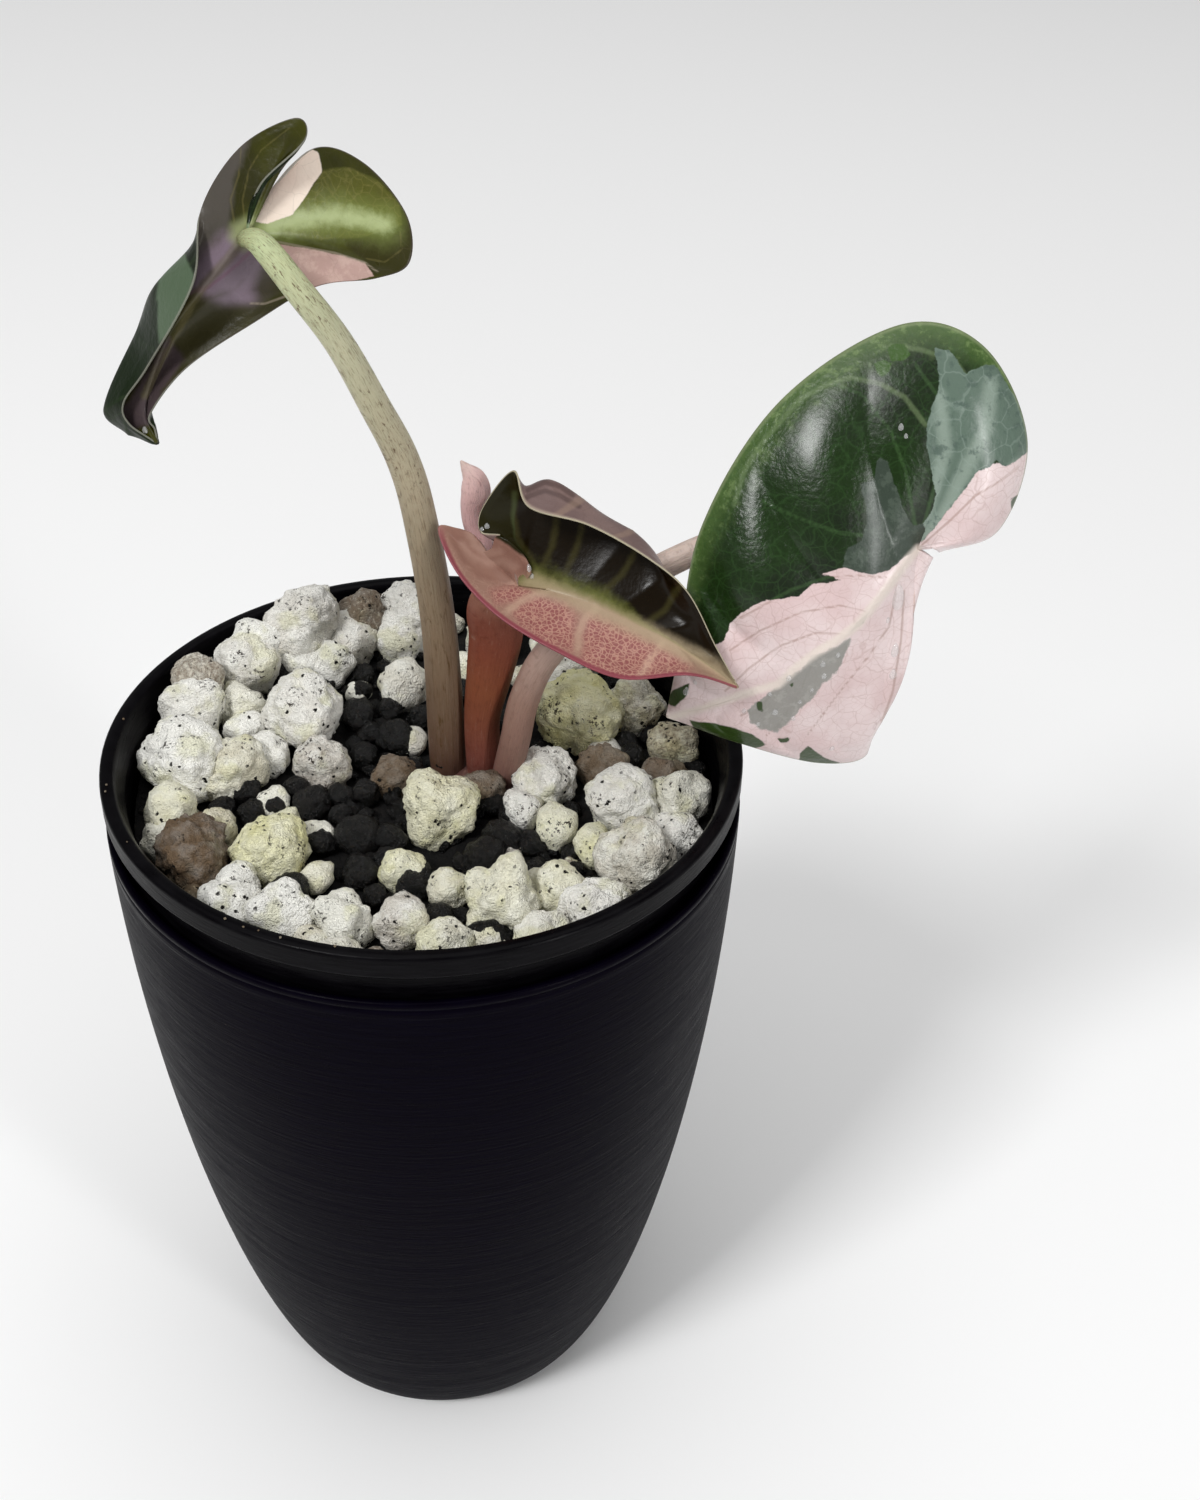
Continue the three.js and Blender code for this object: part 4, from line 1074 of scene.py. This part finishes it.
def leafSkin(name, base, layers, gloss, relief):
    # Living leaf: waxy cuticle over a cushioned blade, with a fine net of veins. Each layer is
    # (attribute or pattern, where it starts, where it is full, how ragged its edge is, colour, strength)
    # gloss: specular level and coat; relief: depth in mm, share of the vein net and of the broad swells in it
    finish = {"Specular_IOR_Level": gloss[0], "Coat_Weight": gloss[1], "Coat_Roughness": 0.18, "Coat_IOR": 1.35}
    material = newMaterial(name, **finish)
    place = addNode(material, "TexCoord", {}, "Object")
    warp = addNode(material, "TexNoise", {"Vector": place, "Scale": 1 / (3 * mm), "Detail": 2}, "Color")
    bent = addNode(material, "VectorMath", [warp, [1.6 * mm] * 3], **times)
    where = addNode(material, "VectorMath", [place, bent], **plus)
    patterns = {}
    for key, size, detail, rough in (
        ("ragged", 1.8, 4, 0.65), ("broad", 11, 3, 0.55), ("fine", 0.8, 3, 0.55), ("swells", 4.5, 3, 0.55),
    ):
        values = {"Vector": place, "Scale": 1 / (size * mm), "Detail": detail, "Roughness": rough}
        patterns[key] = addNode(material, "TexNoise", values)
    # Cells in mm: the two fine nets, really 1 and 0.4 mm, are drawn coarser because they'd be too fine to show
    for key, cell in (("coarseNet", 3.4), ("fineNet", 1.3), ("tinyNet", 0.7)):
        values = {"Vector": where, "Scale": 1 / (cell * mm)}
        patterns[key] = addNode(material, "TexVoronoi", values, "Distance", feature="DISTANCE_TO_EDGE")
    for key, layer in (("half", "out"), ("sideVein", "vein")):
        patterns[key] = addNode(material, "Attribute", {}, "Fac", attribute_name=layer)
    patterns["rim"] = addNode(material, "Math", [patterns["half"]], operation="ABSOLUTE")
    jags = addNode(material, "Math", [patterns["ragged"], 0.5], operation="SUBTRACT")
    tone, masks = base, {}
    for source, start, full, ragged, colour, strength in layers:
        source, within = source if isinstance(source, tuple) else (source, None)
        if source in patterns:
            value = patterns[source]
        else:
            value = addNode(material, "Attribute", {}, "Fac", attribute_name=source)
        if ragged:
            value = addNode(material, "Math", [jags, ragged, value], operation="MULTIPLY_ADD")
        mask = addNode(material, "MapRange", [value, start, full, 0, strength], **smooth)
        masks[source] = mask = addNode(material, "Math", [mask, masks[within]], **times) if within else mask
        if colour:
            tone = addNode(material, "Mix", {0: mask, 6: tone, 7: colour}, 2, data_type="RGBA")
    nets = [
        addNode(material, "MapRange", [patterns[key], 0, 0.3, low, 1], **smooth)
        for key, low in (("coarseNet", 0), ("fineNet", 0.6))
    ]
    ripple = patterns["fine"]
    for value, share in ((addNode(material, "Math", nets, **times), relief[1]), (patterns["swells"], relief[2])):
        ripple = addNode(material, "Math", [value, share, ripple], operation="MULTIPLY_ADD")
    satin = addNode(material, "MapRange", [patterns["broad"], 0.3, 0.7, 0.26, 0.4], **smooth)
    return dress(material, tone, ripple, relief[0], satin)


skins = {
    "right": {
        "upper": ["#d8c7c6", [
            ("broad", 0.4, 0.65, 0, "#c5a9a8", 0.6),
            ("coarseNet", 0.03, 0.0, 0, "#a5857e", 0.34),
            ("fineNet", 0.06, 0.0, 0, "#b89c96", 0.3),
            ("side", 1.8, 0.4, 1.2, "#9f8379", 0.6),
            ("greyPatch", -1, 1.2, 9, "#82827c", 0.92),
            (("ragged", "greyPatch"), 0.5, 0.64, 0, "#9d9b95", 0.6),
            ("green", -0.7, 0.7, 7, "#132806", 1),
            (("broad", "green"), 0.45, 0.7, 0, "#081502", 0.85),
            # partly painted sheen: the yellow-green band along the green half's margin and its pale flecks give its
            # colour together with the gloss that light leaves there
            (("rim", "green"), 0.8, 1, 0.12, "#56713a", 0.6),
            (("ragged", "rim"), 0.52, 0.64, 0, "#8a9f68", 0.45),
            (("coarseNet", "green"), 0.05, 0.0, 0, "#35552a", 0.22),
            (("fineNet", "green"), 0.1, 0, 0, "#27421d", 0.25),
            (("submargin", "green"), 4, 0.6, 4, "#75885f", 0.35),
            (("side", "green"), 3, 0.4, 2, "#456538", 0.3),
            ("mint", -0.7, 0.7, 7, "#596a5e", 1),
            (("side", "mint"), 12, 1, 5, "#9aa89c", 0.5),
            (("coarseNet", "mint"), 0.05, 0, 0, "#8b9a90", 0.3),
            (("ragged", "mint"), 0.52, 0.66, 0, "#47574f", 0.7),
            ("greyLow", -0.7, 0.7, 6, "#343f35", 1),
            (("ragged", "greyLow"), 0.5, 0.64, 0, "#4c574c", 0.6),
            ("bright", -1, 1, 2, "#2c4c05", 1),
            ("dark", -0.8, 0.8, 3, "#2a3d12", 1),
            ("rib", 7, 1, 3, "#d8ccc2", 0.9),
            ("rim", 0.975, 0.995, 0, "#8f9a74", 0.5),
        ], (0.22, 0.5), (0.11, 0.2, 1.8)],
        "under": ["#cdb3ab", [
            ("broad", 0.4, 0.65, 0, "#b89992", 0.7),
            ("coarseNet", 0.04, 0.005, 0, "#a07a6f", 0.35),
            ("greyPatch", -2, 2, 8, "#857d70", 0.8),
            ("green", -1.5, 1.5, 6, "#454d2e", 1),
            (("broad", "green"), 0.42, 0.68, 0, "#544b50", 0.85),
            (("coarseNet", "green"), 0.05, 0, 0, "#75775a", 0.3),
            ("mint", -1.5, 1.5, 6, "#7c766f", 0.9),
            ("greyLow", -1.5, 1.5, 5, "#716c63", 0.9),
            ("side", 3, 0.8, 1, "#a28976", 0.5),
            ("rib", 7, 2, 2, "#c4a993", 0.95),
            ("fineNet", 0.07, 0, 0, "#85735f", 0.2),
        ], (0.2, 0.1), (0.07, 0.3, 0.8)],
    },
    "middle": {
        "upper": ["#967466", [
            ("broad", 0.4, 0.65, 0, "#8f6c5e", 0.7),
            ("crimson", -7, 6, 7, "#8a5150", 0.9),
            (("tinyNet", "crimson"), 0.17, 0.02, 0, "#bf9582", 0.7),
            ("fineNet", 0.09, 0, 0, "#b89684", 0.22),
            ("cream", 7, 0, 6, "#c0a28c", 0.45),
            ("swirl", -4, 4, 6, "#7f5c50", 0.85),
            ("whorl", 9, 0, 8, "#a88a7b", 0.4),
            ("half", -0.03, 0.04, 0.03, "#5d602c", 1),
            (("half", "half"), 0.03, 0.14, 0.1, "#110900", 1),
            (("olive", "half"), 6, 0, 5, "#3f3b1c", 0.55),
            ("lobe", -1.5, 1.5, 3, "#1d1a02", 1),
            (("olive", "lobe"), 5, 0, 4, "#4d5634", 0.5),
            ("rib", 16, 0, 8, "#a8977a", 0.7),
            ("along", 0.56, 0.64, 0, None, 1),
            (("half", "along"), -0.91, -0.96, 0.02, "#823c48", 0.9),
            ("half", 0.988, 0.997, 0, "#b5ad94", 0.8),
        ], (0.14, 0.12), (0.05, 0.2, 1)],
        "under": ["#7c6661", [
            ("broad", 0.4, 0.65, 0, "#655250", 0.7),
            # painted shade: darker lines along the folds
            ("foldShade", 4, 1, 2, "#4c3b39", 0.7),
            ("coarseNet", 0.04, 0, 0, "#65504b", 0.3),
            ("sideVein", 0.8, 0.2, 0, "#98806f", 0.4),
            ("rim", 0.95, 0.99, 0, "#a89888", 0.6),
            ("half", -0.1, -0.3, 0, "#98695e", 0.8),
        ], (0.2, 0.1), (0.07, 0.3, 1)],
    },
    "left": {
        "upper": ["#101c05", [
            ("broad", 0.4, 0.65, 0, "#091203", 0.7),
            ("coarseNet", 0.05, 0, 0, "#26391a", 0.25),
            ("cream", -1.5, 1.5, 4, "#d2c4b8", 1),
            ("pink", -1.5, 1.5, 4, "#c9b0aa", 1),
            ("light", -2, 2, 3, "#51634c", 0.9),
            ("deep", -2, 2, 3, "#0b1a02", 0.9),
            ("rib", 6, 2, 2, "#7c8d66", 0.8),
            (("sideVein", "broad"), 0.6, 0.1, 0, "#3d5030", 0.3),
            ("rim", 0.985, 0.996, 0, "#8c8b80", 0.6),
        ], (0.14, 0.1), (0.06, 0.2, 1)],
        "under": ["#393a0c", [
            ("broad", 0.4, 0.65, 0, "#252406", 0.85),
            ("grey", -5, 5, 8, "#4e4944", 0.9),
            ("lilac", -12, 8, 8, "#7c6d79", 0.95),
            ("darkLow", -8, 8, 8, "#33301c", 0.9),
            ("purple", -4, 4, 7, "#453a3e", 0.9),
            ("brown", -3, 3, 6, "#2f2d0f", 0.9),
            ("greenPatch", -1, 2, 5, "#50511f", 0.95),
            (("fineNet", "greenPatch"), 0.08, 0.0, 0, "#8f854f", 0.18),
            (("broad", "greenPatch"), 0.42, 0.62, 0, "#3a3d10", 0.7),
            ("net", 1.5, 0.2, 2, "#83794a", 0.2),
            ("joint", -10, 6, 3, "#8b9462", 0.85),
            # painted highlight along the ridge: a broad soft band, then a brighter core
            ("ridge", 34, 0, 16, "#7d8a4a", 0.65),
            ("ridge", 16, 0, 18, "#b9c494", 0.6),
            ("cream", -0.8, 0.8, 4, "#e9d9ca", 1),
            (("broad", "cream"), 0.4, 0.7, 0, "#d9bfb0", 0.7),
            ("pink", -0.8, 0.8, 4, "#b3958d", 1),
            (("ragged", "pink"), 0.45, 0.65, 0, "#c9ada3", 0.6),
            ("coarseNet", 0.02, 0, 0, "#5a5040", 0.12),
            ("plum", 3, 0.5, 2, "#77586a", 0.6),
            ("pale", 1.8, 0.4, 0, "#9b8f7e", 0.5),
            ("rib", 6, 1, 3, "#5c563a", 0.55),
            ("rim", 0.985, 0.996, 0, "#4b413c", 0.6),
        ], (0.2, 0.1), (0.06, 0.25, 1.2)],
    },
}


def addLeaf(name, node):
    form, skin = leaves[name], skins[name]
    paints = [leafSkin(name + "Leaf" + part.title(), *skin[part]) for part in ("upper", "under")]
    piece = finishPiece(leafMesh(form), name + "Leaf", paints, [node])
    markLeaf(piece, markings[name])
    body = piece.vertex_groups.new(name="blade")
    for index, item in enumerate(piece.data.attributes["out"].data):  # the blade thins out to its margin
        near = min(1, max(0, 1 - (1 - abs(item.value)) / leaves["edgeWidth"]))
        body.add([index], 1 - (1 - leaves["edge"]) * near, "REPLACE")
    wall = piece.modifiers.new("thickness", "SOLIDIFY")
    wall.thickness, wall.offset = leaves["thick"] * mm, 0
    wall.vertex_group, wall.thickness_vertex_group = body.name, 0
    wall.material_offset, wall.material_offset_rim = 1, 0
    return piece


blades = {}
for name, node in (("right", "blade_right"), ("middle", "blade_middle"), ("left", "blade_left")):
    blades[name] = addLeaf(name, node)
print("leaves grown")


# Water drops from watering, on the leaves: [picture x, picture y, width mm, length mm], each lies on its leaf
drops = {
    "height": 0.34,
    "sunk": 0.3,
    "right": [
        [898, 597, 2.1, 4.3], [895, 650, 1.2, 2.4], [893, 674, 1.1, 1.8], [789, 678, 0.9, 1.3],
        [823, 664, 0.8, 1.2], [824, 676, 0.8, 1.1], [775, 712, 1, 1.3], [744, 711, 0.7, 1], [793, 718, 0.8, 1],
        [901, 427, 0.8, 1.1], [686, 691, 0.8, 1.4], [695, 682, 0.7, 1], [812, 690, 0.6, 0.8], [800, 702, 0.6, 0.8],
        [838, 655, 0.7, 0.9], [770, 694, 0.6, 0.8], [906, 436, 0.6, 0.8], [888, 620, 0.7, 1], [758, 724, 0.7, 0.9],
        [832, 748, 0.8, 1],
    ],
    "middle": [[529, 568, 0.7, 1.3], [532, 576, 0.6, 0.9], [487, 526, 0.8, 0.9], [482, 529, 0.6, 0.7]],
    "left": [[145, 430, 0.9, 1.1]],
}


def waterSkin():
    # Plain water: clear, almost mirror-smooth, with the sharp bright point that the lamps leave on each drop
    material = newMaterial("clearWater", Alpha=0.3, Specular_IOR_Level=1.0, IOR=1.333)
    where = addNode(material, "TexCoord", {}, "Object")
    ripple = addNode(material, "TexNoise", {"Vector": where, "Scale": 1 / (0.5 * mm), "Detail": 2, "Roughness": 0.55})
    mirror = addNode(material, "MapRange", [ripple, 0.3, 0.7, 0.04, 0.1], **smooth)
    return dress(material, None, roughness=mirror)


def addDrops(name, water):
    tree = BVHTree.FromObject(blades[name], bpy.context.evaluated_depsgraph_get())
    mesh = bmesh.new()
    for x, y, width, length in drops[name]:
        eye, way = sightLine(x, y)
        spot, normal, _, _ = tree.ray_cast(eye, way)
        if spot is None:
            continue
        normal = normal if normal.dot(way) < 0 else -normal
        down = (Vector((0, 0, -1)) + normal * normal.z).normalized()
        across = down.cross(normal)
        for vert in bmesh.ops.create_icosphere(mesh, subdivisions=3, radius=0.5)["verts"]:
            side, fall, rise = vert.co
            full = 1 + 0.5 * fall  # heavier at its lower end
            deep = rise * 2 * drops["height"] * width * (1 if rise > 0 else drops["sunk"])
            vert.co = spot + (across * (side * width * full) + down * (fall * length) + normal * deep) * mm
    bmesh.ops.recalc_face_normals(mesh, faces=mesh.faces)
    finishPiece(mesh, name + "LeafDrops", [water])


water = waterSkin()
for name in ("right", "middle", "left"):
    addDrops(name, water)
print("drops laid")


# Setting: pale floor and soft light; each light has its place, what it faces, its size and its power
setting = {
    "floorHalf": 4,
    "floorTone": "#f6f6f6",
    "skyTone": "#ffffff",
    "sky": 0.27,
    "lights": {
        "keyLight": [(-0.9, -1.1, 1.7), (0, 0, 0.12), (0.5, 0.5), 26],
        "topLight": [(0, 0.1, 2.4), (0, 0, 0), (2.4, 2.4), 24],
        "sideStrip": [(1.25, -1.25, 0.6), (0, 0, 0.1), (0.16, 1.1), 11],
    },
}


def addSetting():
    mesh = bmesh.new()
    bmesh.ops.create_grid(mesh, x_segments=2, y_segments=2, size=setting["floorHalf"])
    data = bpy.data.meshes.new("floor")
    mesh.to_mesh(data)
    mesh.free()
    floor = bpy.data.objects.new("floor", data)
    bpy.context.scene.collection.objects.link(floor)
    material = newMaterial("paperFloor", Roughness=0.9, Base_Color=linear(setting["floorTone"]))
    data.materials.append(material)
    world = bpy.data.worlds.new("studio")
    world.use_nodes = True
    world.node_tree.nodes["Background"].inputs["Color"].default_value = linear(setting["skyTone"])
    world.node_tree.nodes["Background"].inputs["Strength"].default_value = setting["sky"]
    bpy.context.scene.world = world
    for name, (spot, target, size, power) in setting["lights"].items():
        light = bpy.data.lights.new(name, "AREA")
        light.shape, light.energy = "RECTANGLE", power
        light.size, light.size_y = size
        lamp = bpy.data.objects.new(name, light)
        lamp.location = spot
        lamp.rotation_euler = (Vector(target) - Vector(spot)).to_track_quat("-Z", "Y").to_euler()
        bpy.context.scene.collection.objects.link(lamp)
    bpy.context.scene.view_settings.view_transform = "Standard"


addSetting()
print("setting placed")
